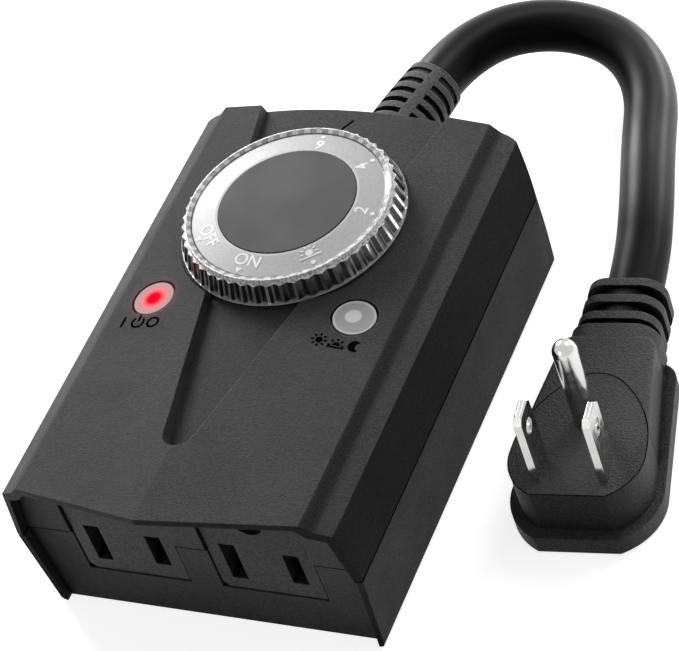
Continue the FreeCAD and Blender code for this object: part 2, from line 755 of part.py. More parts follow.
def make_switch_housing():
    room_radius = rotor_radius + wall / 2
    body = block(
        "switch_block", (-1 * switch_half, switch_half), (dial_y - switch_half, dial_y + switch_half),
        (board_top_z, switch_top_z))
    tools = join(
        "switch_room",
        rod("rotor_room", room_radius, switch_top_z - switch_wall - rotor_low_z, 0, dial_y, rotor_low_z),
        rod("switch_shaft_hole", shaft_hole, wall * 4, 0, dial_y, switch_top_z - wall * 2))
    return cut("switch_housing", body, tools)


def make_switch_rotor():
    disc = rod("rotor_disc", rotor_radius, rotor_high_z - rotor_low_z, 0, dial_y, rotor_low_z)
    notches = [
        rod(
            f"rotor_notch_{step}", notch_radius, rotor_high_z,
            rotor_radius * math.cos(math.radians(90 + 45 * step)),
            dial_y + rotor_radius * math.sin(math.radians(90 + 45 * step)), rotor_low_z - SPARE)
        for step in range(8)]
    shaft = rod(
        "rotor_shaft", dim("shaft_radius"), shaft_top_z - rotor_low_z, 0, dial_y, rotor_low_z)
    return join("switch_rotor", cut("notched_disc", disc, join("rotor_notches", *notches)), shaft)


def make_detent_spring():
    """A leaf against the housing's wall whose round nose stands just clear of the rotor's notch."""
    play = dim("screw_play") * 2
    thickness = dim("spring_thickness")
    leaf_y = dial_y + rotor_radius + wall / 2 - dim("screw_play")
    leaf = block(
        "detent_leaf", about(0, dim("shaft_radius")), (leaf_y - thickness, leaf_y),
        (rotor_low_z + play, rotor_high_z))
    nose = rod(
        "detent_nose", thickness, rotor_high_z - rotor_low_z - play * 2, 0,
        leaf_y - thickness, rotor_low_z + play * 1.5)
    return join("detent_spring", leaf, nose)


def make_shaft_seal():
    low = switch_top_z
    high = dim("recess_floor_height") - wall - dim("screw_play") * 2
    ring = rod("shaft_seal_disc", dim("shaft_radius") * 2, high - low, 0, dial_y, low)
    bore = rod(
        "shaft_seal_bore", dim("shaft_radius") + dim("screw_play") * 2, high - low + SPARE * 2, 0,
        dial_y, low - SPARE)
    return cut("shaft_seal", ring, bore)


def make_dial_knob():
    """Clear knob: toothed skirt on a plain foot, smooth rim, dished face up to the disc, hub on the shaft."""
    low = knob_low_z.value
    radius, shoulder_radius = dim("knob_radius").value, dim("knob_shoulder_radius").value
    foot_z = low + dim("knob_foot_height").value
    shoulder_z = low + dim("knob_shoulder_height").value
    rim_z = low + dim("knob_rim_height").value
    rim_radius = dim("knob_rim_radius").value
    collar_z = low + dim("knob_collar_height").value
    collar_radius = dim("disc_radius").value + dim("disc_collar").value
    root_radius = radius - dim("knurl_depth").value
    teeth = []
    for step in range(2 * KNURL_TEETH + 1):
        angle = math.pi * step / KNURL_TEETH
        reach = radius if step % 2 == 0 else root_radius
        teeth.append((reach * math.cos(angle), reach * math.sin(angle)))
    foot = Part.makePolygon([FreeCAD.Vector(x, y, foot_z) for x, y in teeth])
    taper = shoulder_radius / radius
    tops = Part.makePolygon([FreeCAD.Vector(x * taper, y * taper, shoulder_z) for x, y in teeth])
    skirt = Part.makeLoft([foot, tops], True, True)
    clear_wall = dim("knob_wall").value
    pocket_radius = dim("disc_radius").value + dim("shaft_clearance").value * 2
    bore_radius = dim("shaft_radius").value + dim("shaft_clearance").value
    ceiling = shoulder_z - clear_wall
    rim_foot = rim_radius + dim("knob_rim_lean").value
    middle_z = shoulder_z - clear_wall / 2
    profile = [
        (0, middle_z), (rim_foot, middle_z), (rim_foot, shoulder_z), (rim_radius, rim_z),
        (rim_radius - dim("knob_rim_width").value, rim_z),
        (dim("face_radius").value, rim_z - dim("face_drop").value),
        (collar_radius, collar_z), (0, collar_z), (0, middle_z)]
    face = Part.Face(Part.makePolygon([FreeCAD.Vector(x, 0, z) for x, z in profile]))
    crown = face.revolve(FreeCAD.Vector(), FreeCAD.Vector(0, 0, 1), 360)

    def up(tool_radius, start, end):
        return Part.makeCylinder(tool_radius, end - start, FreeCAD.Vector(0, 0, start))

    knob = up(radius + dim("knob_foot_lip").value, low, foot_z).fuse(skirt)
    knob = knob.cut(up(root_radius * taper - clear_wall, low - SPARE, ceiling))
    knob = knob.fuse([crown, up(bore_radius + clear_wall, low, ceiling + 0.5)])
    knob = knob.cut(up(pocket_radius, disc_low_z.value, collar_z + SPARE))
    knob = knob.cut(up(bore_radius, low - SPARE, shaft_top_z.value))
    return place(feature("dial_knob", knob.removeSplitter()), 0, dial_y, 0)


def make_dial_disc():
    return rod("dial_centre_disc", dim("disc_radius"), dim("disc_thickness"), 0, dial_y, disc_low_z)


def make_lens(name, side):
    flange = on_panel(
        f"{name}_flange", lens_hole + dim("lens_flange"), -1 * dim("lens_thickness") - 1.0,
        -1 * dim("lens_seat"), side)
    pane = on_panel(
        f"{name}_pane", dim("lens_radius"), -1 * dim("lens_thickness") - 1.0, -0.1, side)
    return join(name, flange, pane)


def make_power_led():
    led_radius = dim("lens_radius") * 0.62
    x, y = 0.4 - lens_side, lens_y
    top = lens_surface_z - wall * 3.2
    foot = rod("led_foot", led_radius * 1.15, 1.0, x, y, board_top_z)
    stem = rod("led_stem", led_radius, top - board_top_z, x, y, board_top_z)
    dome = doc.addObject("Part::Sphere", "led_dome")
    bind(dome, "Radius", led_radius)
    place(dome, x, y, top)
    return join("power_led", foot, stem, dome)


def make_photocell():
    cell_radius = dim("lens_radius") * 0.65
    x, y = lens_side - 0.4, lens_y
    top = lens_surface_z - wall * 2.6
    disc = rod("cell_disc", cell_radius, wall, x, y, top - wall)
    leads = [
        rod(f"cell_lead_{hand}", dim("lead_radius"), top - wall / 2 - board_top_z,
            x + cell_radius / 2 * hand, y, board_top_z)
        for hand in (1, -1)]
    return join("photocell", disc, *leads)


def make_relay():
    return block(
        "relay", about(-1 * board_side * dim("relay_side_share"), dim("relay_width")),
        about(dial_y - dim("big_parts_before_dial"), dim("relay_length")),
        (dim("board_height") - dim("relay_height"), dim("board_height")))


def make_mains_capacitor():
    return block(
        "mains_capacitor",
        about(board_side * dim("mains_capacitor_side_share"), dim("mains_capacitor_width")),
        about(dial_y - dim("big_parts_before_dial"), dim("mains_capacitor_length")),
        (dim("board_height") - dim("mains_capacitor_height"), dim("board_height")))


def make_smoothing_capacitor():
    height = dim("smoothing_height")
    return rod(
        "smoothing_capacitor", dim("smoothing_radius"), height, board_side * dim("smoothing_side_share"),
        board_front_y + dim("smoothing_edge_gap"), dim("board_height") - height)


def make_varistor():
    side, middle = board_side * dim("varistor_side_share"), dial_y - dim("varistor_before_dial")
    drop, thickness = dim("varistor_drop"), dim("varistor_thickness")
    disc = rod(
        "varistor_disc", dim("varistor_radius"), thickness, side, middle - thickness / 2,
        dim("board_height") - drop, "y")
    leads = [
        rod(f"varistor_lead_{hand}", dim("lead_radius"), drop * 0.6,
            side + dim("varistor_radius") * (0.57 * hand), middle, dim("board_height") - drop * 0.6)
        for hand in (1, -1)]
    return join("varistor", disc, *leads)


def make_microcontroller():
    middle = board_front_y + dim("chip_edge_gap")
    half_pin = dim("chip_pin_width") / 2
    low = board_top_z + half_pin
    chip = block(
        "chip_body", about(0, dim("chip_length")), about(middle, dim("chip_width")),
        (low, low + dim("chip_height")))
    pins = [
        block(
            f"chip_pin_{column}", about(dim("chip_pin_pitch") * column, dim("chip_pin_width")),
            about(middle, dim("chip_width") * 1.5), (board_top_z, low + half_pin * 2))
        for column in range(-3, 4)]
    return join("microcontroller", chip, *pins)


# Outlets: contacts are open towards the board, and each bus joins the two outlets
slot_half = dim("slot_spacing") / 2
ground_z = dim("slot_height") + dim("ground_offset")
face_thickness = wall + 0.5
leaf_gap_half = dim("blade_gap") / 2
chamber_half = leaf_gap_half + dim("leaf_thickness") + dim("face_gap")
chamber_half_height = dim("long_slot") / 2 + SPARE
sleeve_outer = dim("sleeve_bore") + dim("leaf_thickness")


def make_outlet_block(name, side):
    centre = side * outlet_side
    low, high = dim("face_low"), dim("face_high")
    left, right = centre - face_half, centre + face_half
    chamfer = dim("face_chamfer")
    body = prism(
        f"{name}_body", "XZ",
        [(left + chamfer, low), (right, low), (right, high), (left, high), (left, low + chamfer)],
        face_y, block_back_y)
    flange = block(
        f"{name}_flange",
        (left - dim("block_flange"), right + dim("block_flange")),
        (end_y + wall, end_y + wall + dim("block_flange_thickness")),
        (low - dim("block_flange"), high + dim("block_flange")))
    middle = dim("slot_height")
    tools = []
    for hand, length in ((-1, dim("long_slot")), (1, dim("short_slot"))):
        x = centre + hand * slot_half
        tools.append(block(
            f"{name}_slot_{hand}", (x - dim("slot_width") / 2, x + dim("slot_width") / 2),
            (face_y - SPARE, face_y + face_thickness + SPARE), (middle - length / 2, middle + length / 2)))
        tools.append(block(
            f"{name}_chamber_{hand}", (x - chamber_half, x + chamber_half),
            (face_y + face_thickness, block_back_y + SPARE),
            (middle - chamber_half_height, middle + chamber_half_height)))
    tools.append(rod(
        f"{name}_ground_hole", dim("ground_hole_radius"), face_thickness + SPARE * 2, centre,
        face_y - SPARE, ground_z, "y"))
    tools.append(rod(
        f"{name}_ground_chamber", sleeve_outer + dim("face_gap"), dim("face_depth"), centre,
        face_y + face_thickness, ground_z, "y"))
    return cut(name, join(f"{name}_solid", body, flange), join(f"{name}_tools", *tools))


def make_blade_bus(name, hand, strip_z, leaf_z):
    """Two contacts of two leaves each, joined behind the outlets by one strip."""
    pieces = []
    for side in (-1, 1):
        x = side * outlet_side + hand * slot_half
        for leaf in (-1, 1):
            near, far = leaf_gap_half, leaf_gap_half + dim("leaf_thickness")
            span = (x + near, x + far) if leaf > 0 else (x - far, x - near)
            pieces.append(block(
                f"{name}_leaf_{side}_{leaf}", span,
                (face_y + face_thickness + SPARE, strip_back_y), leaf_z))
    reach = leaf_gap_half + dim("leaf_thickness")
    pieces.append(block(
        f"{name}_strip",
        (hand * slot_half - outlet_side - reach, hand * slot_half + outlet_side + reach),
        (strip_front_y, strip_back_y), strip_z))
    return join(name, *pieces)


def make_ground_bus():
    sleeves = [
        rod(
            f"ground_sleeve_{side}", sleeve_outer, strip_back_y - face_y - face_thickness - SPARE,
            side * outlet_side, face_y + face_thickness + SPARE, ground_z, "y")
        for side in (-1, 1)]
    strip = block(
        "ground_strip", (-1 * outlet_side, outlet_side), (strip_front_y, strip_back_y),
        (ground_z - dim("strip_height") / 2, ground_z + dim("strip_height") / 2))
    bores = [
        rod(
            f"ground_bore_{side}", dim("sleeve_bore"), strip_front_y - face_y,
            side * outlet_side, face_y, ground_z, "y")
        for side in (-1, 1)]
    return cut("ground_bus", join("ground_solid", *sleeves, strip), join("ground_bores", *bores))


def tube(points, radius):
    """A round tube along straight runs joined by tangent arcs, as large as their runs allow."""
    edges, radii, start = [], [], points[0]
    for before, corner, after in zip(points, points[1:], points[2:]):
        way_in, way_out = corner - before, after - corner
        half_turn = way_in.getAngle(way_out) / 2
        reach = 0.45 * min(way_in.Length, way_out.Length)
        way_in.normalize()
        way_out.normalize()
        bend = reach / math.tan(half_turn)
        inward = way_out - way_in
        inward.normalize()
        arc_start, arc_end = corner - way_in * reach, corner + way_out * reach
        middle = corner + inward * (bend / math.cos(half_turn) - bend)
        edges.append(Part.makeLine(start, arc_start))
        edges.append(Part.Arc(arc_start, middle, arc_end).toShape())
        radii.append(round(bend, 1))
        start = arc_end
    edges.append(Part.makeLine(start, points[-1]))
    path = Part.Wire(edges)
    first = points[1] - points[0]
    ring = Part.Wire([Part.makeCircle(radius, points[0], first)])
    solid = path.makePipeShell([ring], True, False)
    share = solid.Volume / (math.pi * radius * radius * path.Length)
    return solid, radii, path.Length, share


def routed(name, points, radius):
    solid, radii, length, share = tube(points, number_of(radius))
    print(name, "length", round(length, 1), "radii", radii, "volume share", round(share, 4))
    return feature(name, solid)


def spot(x, y, z):
    return FreeCAD.Vector(number_of(x), number_of(y), number_of(z))


# Cord, wires and strain relief
CORD_ROUTE = [
    (3.0, 81.35, 20.4),
    (4.69, 88.96, 20.4),
    (10.5, 100.95, 17.8),
    (21.5, 107.15, 14.6),
    (34.0, 105.95, 11.4),
    (43.5, 95.45, 9.0),
    (47.6, 77.95, 7.5),
    (52.3, 61.95, 7.0),
    (55.76, 47.78, 7.0),
    (56.89, 37.85, 7.0),
]


def relief_place(length):
    """Centre and direction of the strain relief at a length along its bend."""
    bend = dim("relief_bend_radius").value
    turn = length / bend
    centre = relief_base + FreeCAD.Vector(bend * (1 - math.cos(turn)), bend * math.sin(turn), 0)
    return centre, FreeCAD.Vector(math.sin(turn), math.cos(turn), 0)


def relief_ring(length, radius):
    centre, direction = relief_place(length)
    return Part.Wire([Part.makeCircle(radius, centre, direction)])


def make_strain_relief():
    """Bent, tapering sleeve with rows of slots between four spines, a neck and an inner flange."""
    length = dim("relief_length").value
    base, end = dim("relief_base_radius").value, dim("relief_end_radius").value
    steps = RELIEF_SLOT_ROWS + 1
    rings = [
        relief_ring(length * step / steps, base + (end - base) * step / steps) for step in range(steps + 1)]
    sleeve = Part.makeLoft(rings, True, True)
    pitch, width = dim("relief_slot_pitch").value, dim("relief_slot_width").value
    spine, core = dim("relief_spine_width").value, dim("relief_core_radius").value
    for row in range(RELIEF_SLOT_ROWS):
        middle = length - dim("relief_end_band").value - width / 2 - row * pitch
        centre, direction = relief_place(middle)
        start = centre - direction * (width / 2)
        slot = Part.makeCylinder(base * 2, width, start, direction)
        slot = slot.cut(Part.makeCylinder(core, width, start, direction))
        for quarter in range(2):
            angle = dim("relief_spine_turn").value + 90 * quarter
            bar = Part.makeBox(
                base * 5, spine, width + SPARE * 2, FreeCAD.Vector(-base * 2.5, -spine / 2, -SPARE))
            bar.Placement = FreeCAD.Placement(
                start, FreeCAD.Rotation(FreeCAD.Vector(0, 0, 1), direction)
                * FreeCAD.Rotation(FreeCAD.Vector(0, 0, 1), angle))
            slot = slot.cut(bar)
        sleeve = sleeve.cut(slot)
    along = FreeCAD.Vector(0, 1, 0)
    neck = Part.makeCylinder(
        relief_hole.value - dim("shaft_clearance").value, wall.value,
        relief_base - along * wall.value, along)
    flange_back = wall.value + dim("relief_flange_thickness").value
    flange = Part.makeCylinder(
        dim("relief_flange_radius").value, dim("relief_flange_thickness").value,
        relief_base - along * flange_back, along)
    return feature("cord_strain_relief", sleeve.fuse([neck, flange]).removeSplitter())


def make_cord():
    points = [FreeCAD.Vector(*point) for point in CORD_ROUTE]
    return routed("cord", points, dim("cord_radius"))


stub_back_y = back_y - wall - dim("relief_flange_thickness")
stub_front_y = stub_back_y - dim("cord_radius")
wire_r = dim("wire_radius")


def make_cord_inner_end():
    return rod(
        "cord_inner_end", dim("cord_radius"), stub_back_y - stub_front_y, 0, stub_front_y, parting_z, "y")


def make_wires():
    """Three wires from the cord to the board and the ground bus, and two from the board to the buses."""
    out_of_cord = stub_front_y
    board_face = dim("board_height")
    run_under_board = board_face - wire_r * 3.7
    spread = dim("cord_radius") * 0.5
    big_parts_back = dial_y - dim("big_parts_before_dial") + dim("relay_length") / 2
    span = out_of_cord - big_parts_back - wire_r * 2
    made = []
    for name, hand in (("line_wire_in", 1), ("neutral_wire_in", -1)):
        cord_level = board_face - wire_r * 1.7
        side = board_side * (hand / 3)
        made.append(routed(name, [
            spot(hand * spread, out_of_cord, cord_level),
            spot(hand * spread, out_of_cord - span * 0.33, cord_level),
            spot(side * 0.75, out_of_cord - span * 0.72, run_under_board - wire_r * 0.7),
            spot(side, out_of_cord - span, run_under_board),
            spot(side, out_of_cord - span, board_face),
        ], wire_r))
    bus_y = strip_back_y
    ground_level = parting_z - spread - wire_r
    floor_level = wall + dim("wire_floor_gap") + wire_r
    reach = closed_length * 0.2
    made.append(routed("ground_wire", [
        spot(0, out_of_cord, ground_level),
        spot(0, out_of_cord - span * 0.33, ground_level),
        spot(0, out_of_cord - span * 0.8, floor_level + wire_r * 1.3),
        spot(0, out_of_cord - span - wire_r * 6, floor_level),
        spot(0, bus_y + reach, floor_level),
        spot(0, bus_y + wire_r * 5.2, floor_level + wire_r * 1.3),
        spot(0, bus_y + wire_r * 2.7, floor_level + wire_r * 7.2),
        spot(0, bus_y + wire_r * 2.7, ground_z),
        spot(0, bus_y, ground_z),
    ], wire_r))
    side = dim("wire_side")
    line_level = line_strip_z[0] + dim("strip_height") / 2 - wire_r * 0.37
    made.append(routed("line_wire_out", [
        spot(side, bus_y, line_level),
        spot(side, bus_y + wire_r * 1.95, line_level),
        spot(side + wire_r * 0.3, bus_y + wire_r * 4.8, run_under_board),
        spot(side + wire_r * 0.4, bus_y + wire_r * 9.2, run_under_board),
        spot(side + wire_r * 0.4, bus_y + wire_r * 9.2, board_face),
    ], wire_r))
    neutral_level = neutral_strip_z[0] + dim("strip_height") / 2
    made.append(routed("neutral_wire_out", [
        spot(-1 * side, bus_y, neutral_level),
        spot(-1 * side, bus_y + wire_r * 3, neutral_level),
        spot(-1 * side - wire_r * 0.3, bus_y + wire_r * 8.9, neutral_level + wire_r * 1.9),
        spot(-1 * side - wire_r * 0.3, bus_y + wire_r * 8.9, board_face),
    ], wire_r))
    return made


leaf_height = dim("strip_height") * 2.9
neutral_low = dim("slot_height") - chamber_half_height + dim("face_gap")
line_high = dim("slot_height") + chamber_half_height - dim("face_gap")
neutral_strip_z = (neutral_low, neutral_low + dim("strip_height"))
line_strip_z = (line_high - dim("strip_height"), line_high)
neutral_leaf_z = (neutral_low, neutral_low + leaf_height)
line_leaf_z = (line_high - leaf_height, line_high)


# Plug, in its own frame: origin on its back under the middle of the blade line, Y towards the cord
plug_turn = FreeCAD.Rotation(FreeCAD.Vector(0, 0, 1), dim("plug_turn").value)
plug_y = end_y + dim("plug_back")
face_z = dim("plug_thickness")


def in_plug(thing):
    return place(thing, dim("plug_across"), plug_y, 0, plug_turn)


def bulged(start, end, share):
    """An arc that bulges outwards from a counter-clockwise outline by a share of its chord."""
    chord = end - start
    outward = FreeCAD.Vector(chord.y, -chord.x, 0)
    return Part.Arc(start, (start + end) * 0.5 + outward * share, end).toShape()


def both_sides(edges):
    """Close a plug outline that is given for +X, from the front to the cord."""
    mirror = [edge.mirror(FreeCAD.Vector(), FreeCAD.Vector(1, 0, 0)) for edge in edges]
    front = edges[0].Vertexes[0].Point
    rear = edges[-1].Vertexes[-1].Point
    whole = list(edges) + list(mirror)
    whole.append(Part.makeLine(FreeCAD.Vector(-front.x, front.y, 0), front))
    if abs(rear.x) > 1e-6:
        whole.append(Part.makeLine(rear, FreeCAD.Vector(-rear.x, rear.y, 0)))
    return Part.Face(Part.Wire(Part.__sortEdges__(whole)))


def core_outline():
    front = FreeCAD.Vector(dim("core_flat_half").value, -dim("core_flat_front").value, 0)
    widest = FreeCAD.Vector(dim("core_half").value, dim("core_wide_back").value, 0)
    shoulder = FreeCAD.Vector(dim("core_shoulder_half").value, dim("core_shoulder_back").value, 0)
    top = FreeCAD.Vector(0, dim("core_top_back").value, 0)
    return both_sides([
        bulged(front, widest, 0.16), bulged(widest, shoulder, 0.1), bulged(shoulder, top, 0.1)])


def body_outline(margin, flat_front, rear_half, rear_back, corner):
    front = FreeCAD.Vector(dim("core_flat_half").value + margin * 0.4, -flat_front, 0)
    widest = FreeCAD.Vector(dim("core_half").value + margin, dim("core_wide_back").value, 0)
    before_corner = FreeCAD.Vector(rear_half, rear_back - corner, 0)
    after_corner = FreeCAD.Vector(rear_half - corner, rear_back, 0)
    return both_sides([
        bulged(front, widest, 0.16), Part.makeLine(widest, before_corner),
        bulged(before_corner, after_corner, 0.2)])


def upright(face, low, high):
    solid = face.extrude(FreeCAD.Vector(0, 0, high - low))
    solid.translate(FreeCAD.Vector(0, 0, low))
    return solid


def oval_slab(half_width_here, half_height, start, end, corner):
    """A slab across the cord whose outline is a rectangle with round corners."""
    slab = Part.makeBox(
        half_width_here * 2, end - start, half_height * 2,
        FreeCAD.Vector(-half_width_here, start, dim("neck_axis_height").value - half_height))
    edges = [edge for edge in slab.Edges if runs_along(edge, FreeCAD.Vector(0, 1, 0))]
    return slab.makeFillet(corner, edges)


def prong_shapes():
    """Blades and pin as plain solids in the plug's frame, also used to cut their seats."""
    root = face_z.value - dim("prong_root").value
    thickness, width = dim("blade_thickness").value, dim("blade_width").value
    length = dim("blade_length").value
    tip = face_z.value + length
    shapes = []
    for hand in (-1, 1):
        centre = hand * slot_half.value
        blade = Part.makeBox(
            thickness, width, tip - root, FreeCAD.Vector(centre - thickness / 2, -width / 2, root))
        top_edges = [
            edge for edge in blade.Edges
            if abs(edge.CenterOfMass.z - tip) < 1e-6 and runs_along(edge, FreeCAD.Vector(1, 0, 0))]
        blade = blade.makeChamfer(width * 0.22, top_edges)
        thin_edges = [
            edge for edge in blade.Edges
            if abs(edge.CenterOfMass.z - tip) < 1e-6 and runs_along(edge, FreeCAD.Vector(0, 1, 0))]
        blade = blade.makeChamfer(thickness * 0.25, thin_edges)
        hole = Part.makeCylinder(
            dim("blade_hole_radius").value, thickness * 3,
            FreeCAD.Vector(centre - thickness * 1.5, 0, tip - dim("blade_hole_from_tip").value),
            FreeCAD.Vector(1, 0, 0))
        shapes.append(blade.cut(hole))
    return shapes


def pin_shape():
    """Ground pin in the plug's frame: domed shaft, and under the face a neck and a wider root."""
    radius, root_length = dim("pin_radius").value, dim("prong_root").value
    neck_length = dim("pin_neck_length").value
    face = FreeCAD.Vector(0, dim("ground_offset").value, face_z.value)
    length = dim("pin_length").value - radius
    shaft = Part.makeCylinder(radius, length, face)
    neck = Part.makeCylinder(
        dim("pin_neck_radius").value, neck_length, face - FreeCAD.Vector(0, 0, neck_length))
    root = Part.makeCylinder(
        dim("pin_root_radius").value, root_length - neck_length, face - FreeCAD.Vector(0, 0, root_length))
    dome = Part.makeSphere(radius, face + FreeCAD.Vector(0, 0, length))
    return shaft.fuse([neck, root, dome]).removeSplitter()


def make_prongs():
    left, right = prong_shapes()
    return [
        in_plug(feature("line_blade", left)), in_plug(feature("neutral_blade", right)),
        in_plug(feature("ground_pin", pin_shape()))]


def make_plug_core():
    solid = upright(core_outline(), dim("plug_flange_height").value, face_z.value)
    root = face_z.value - dim("prong_root").value
    thickness, width = dim("blade_thickness").value, dim("blade_width").value
    for hand in (-1, 1):
        solid = solid.cut(Part.makeBox(
            thickness, width, dim("prong_root").value + SPARE,
            FreeCAD.Vector(hand * slot_half.value - thickness / 2, -width / 2, root)))
    return in_plug(feature("plug_core", solid.cut(pin_shape())))


def make_plug_jacket():
    """Wide base, body round the core, and the ribbed neck that the cord enters."""
    flange_top, top = dim("plug_flange_height").value, face_z.value
    margin = dim("flange_margin").value
    flat_front = dim("core_flat_front").value
    end_half, end_back = dim("jacket_end_half").value, dim("jacket_end_back").value
    base = upright(body_outline(
        margin, flat_front + margin * 1.4, end_half + margin * 1.4, end_back + margin, 4.5), 0, flange_top)
    base = base.makeFillet(0.8, [
        edge for edge in base.Edges if abs(edge.BoundBox.ZMax) < 1e-6])
    body = upright(body_outline(0, flat_front, end_half, end_back, 2.5), flange_top, top)
    body = body.makeFillet(1.0, [
        edge for edge in body.Edges
        if abs(edge.BoundBox.ZMin - top) < 1e-6 and edge.CenterOfMass.y > dim("core_wide_back").value + 1])
    body = body.cut(upright(core_outline(), flange_top, top + SPARE))
    neck_end = dim("neck_end_back").value
    axis_height = dim("neck_axis_height").value
    neck = Part.makeCylinder(
        dim("neck_radius").value, neck_end - end_back + SPARE,
        FreeCAD.Vector(0, end_back - SPARE, axis_height), FreeCAD.Vector(0, 1, 0))
    pieces = [body, neck]
    half_height = dim("rib_half_height").value
    pieces.append(oval_slab(end_half - 0.4, half_height, end_back - SPARE, end_back + margin + 1.2, 4.6))
    for rib in range(NECK_RIBS):
        end = neck_end - rib * dim("rib_pitch").value
        half = dim("rib_half").value - 0.15 * (NECK_RIBS - 1 - rib)
        pieces.append(oval_slab(half, half_height - 0.1, end - dim("rib_thickness").value, end, 4.6))
    return in_plug(feature("plug_jacket", base.fuse(pieces).removeSplitter()))


SUB_PARTS = [
    make_front_cover(),
    make_rear_cover(),
    make_cover_seal(),
    make_cover_screws(),
    make_board(),
    make_board_screws(),
    make_switch_housing(),
    make_switch_rotor(),
    make_detent_spring(),
    make_shaft_seal(),
    make_dial_knob(),
    make_dial_disc(),
    make_lens("power_lens", -1),
    make_lens("sensor_lens", 1),
    make_power_led(),
    make_photocell(),
    make_relay(),
    make_mains_capacitor(),
    make_smoothing_capacitor(),
    make_varistor(),
    make_microcontroller(),
    make_outlet_block("outlet_block_left", -1),
    make_outlet_block("outlet_block_right", 1),
    make_blade_bus("neutral_bus", -1, neutral_strip_z, neutral_leaf_z),
    make_blade_bus("line_bus", 1, line_strip_z, line_leaf_z),
    make_ground_bus(),
    make_cord_inner_end(),
    *make_wires(),
    make_strain_relief(),
    make_cord(),
    make_plug_jacket(),
    make_plug_core(),
    *make_prongs(),
]

for part in SUB_PARTS:
    part.Label = part.Name
doc.recompute()

for thing in doc.Objects:
    if "Invalid" in thing.State or "Error" in thing.State:
        raise RuntimeError(f"{thing.Label} did not recompute")
for part in SUB_PARTS:
    if part.Shape.isNull() or not part.Shape.isValid():
        raise RuntimeError(f"{part.Label} has no valid shape")

os.makedirs("parts", exist_ok=True)
for part in SUB_PARTS:
    part.Shape.exportStep(f"parts/{part.Label}.step")
print(len(SUB_PARTS), "sub-parts written")
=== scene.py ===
"""Looks of an outdoor plug-in timer: textured black case, clear dial, lit lens, ribbed cord and plug."""

import json
import math

import bmesh
import bpy
from mathutils import Matrix, Vector


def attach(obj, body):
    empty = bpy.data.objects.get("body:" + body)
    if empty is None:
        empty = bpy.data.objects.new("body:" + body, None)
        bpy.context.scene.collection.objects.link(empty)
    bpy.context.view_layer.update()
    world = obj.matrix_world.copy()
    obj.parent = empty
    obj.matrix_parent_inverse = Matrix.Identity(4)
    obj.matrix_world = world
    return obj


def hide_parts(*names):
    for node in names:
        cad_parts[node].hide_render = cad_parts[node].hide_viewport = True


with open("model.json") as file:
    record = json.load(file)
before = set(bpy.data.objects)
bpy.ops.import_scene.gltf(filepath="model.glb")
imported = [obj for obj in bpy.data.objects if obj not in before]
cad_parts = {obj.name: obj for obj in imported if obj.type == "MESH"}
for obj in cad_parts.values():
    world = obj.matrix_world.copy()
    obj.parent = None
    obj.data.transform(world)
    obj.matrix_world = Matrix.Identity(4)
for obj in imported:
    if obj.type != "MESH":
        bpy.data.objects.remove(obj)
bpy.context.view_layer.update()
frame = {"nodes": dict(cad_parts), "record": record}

MM = 0.001

# Camera: place and angles that match the photograph
CAMERA_PLACE = Vector((261.26, -325.51, 416.94)) * MM
CAMERA_AZIMUTH = math.radians(36.797)
CAMERA_ELEVATION = math.radians(43.144)
CAMERA_ROLL = math.radians(21.460)
CAMERA_LENS = 160.31
SENSOR_WIDTH = 36.0

# Light: soft lamps behind the box on both sides, a weak one in front, a low one behind the cord
LAMP_DISTANCE = 0.75
BOX_MIDDLE = (0, 0, 0.02)
KEY_PLACE = Vector((-0.64, 0.58, 0.5)).normalized() * LAMP_DISTANCE
STRIP_PLACE = Vector((0.32, 0.58, 0.74)).normalized() * LAMP_DISTANCE
FILL_PLACE = (-0.3, -0.75, 0.4)
FILL_TARGET = (0, -0.03, 0.02)
RIM_PLACE = (0.3, 0.7, 0.12)
RIM_TARGET = (0.03, 0.09, 0.01)

# Light: what the pale surround and the floor give on top
AMBIENT_LEVEL = 0.25
FLOOR_LIFT = 0.75
FLOOR_HALF = 2.0

# Finishes: shared colours, patches of tone and of gloss as size in metres and amount, and how many
# samples a rounded edge or the painted shade in a crease takes
PLUG_BLACK = (0.012, 0.012, 0.013)
COVER_BLACK = (0.014, 0.014, 0.0145)
TONE_PATCHES = (0.03, 0.08)
GLOSS_PATCHES = (0.012, 0.05)
SHADING_SAMPLES = 6

# Thicknesses of what is printed on the pieces
LEGEND_THICKNESS = 0.00006
LETTER_HALF_THICKNESS = 0.00003
LETTER_BOLDNESS = 0.00006
SIGN_THICKNESS = 0.00004
SEAM_THICKNESS = 0.00003

# Dial: its centre, the sloping face's edges as radius and height, its rim and its toothed skirt
DIAL_CENTRE = Vector((0, 22.65, 0)) * MM
FACE_INNER = (14.25 * MM, 43.95 * MM)
FACE_OUTER = (19.0 * MM, 43.2 * MM)
RIM_INNER = 20.15 * MM
TOOTH_TOP = 42.8 * MM
TOOTH_FOOT = 39.2 * MM
TEETH = 50

# Dial's skirt: painted reflections as bright streaks: where it has hardly any of them, as painted shade,
# and the two streaks by each tooth, each with its phase after the tooth's crest and the cosines at which
# it begins and is full
STREAKLESS = math.radians(305)
MAIN_STREAK = (0.5, 0.62, 0.9)
THIN_STREAK = (-2.2, 0.86, 0.97)

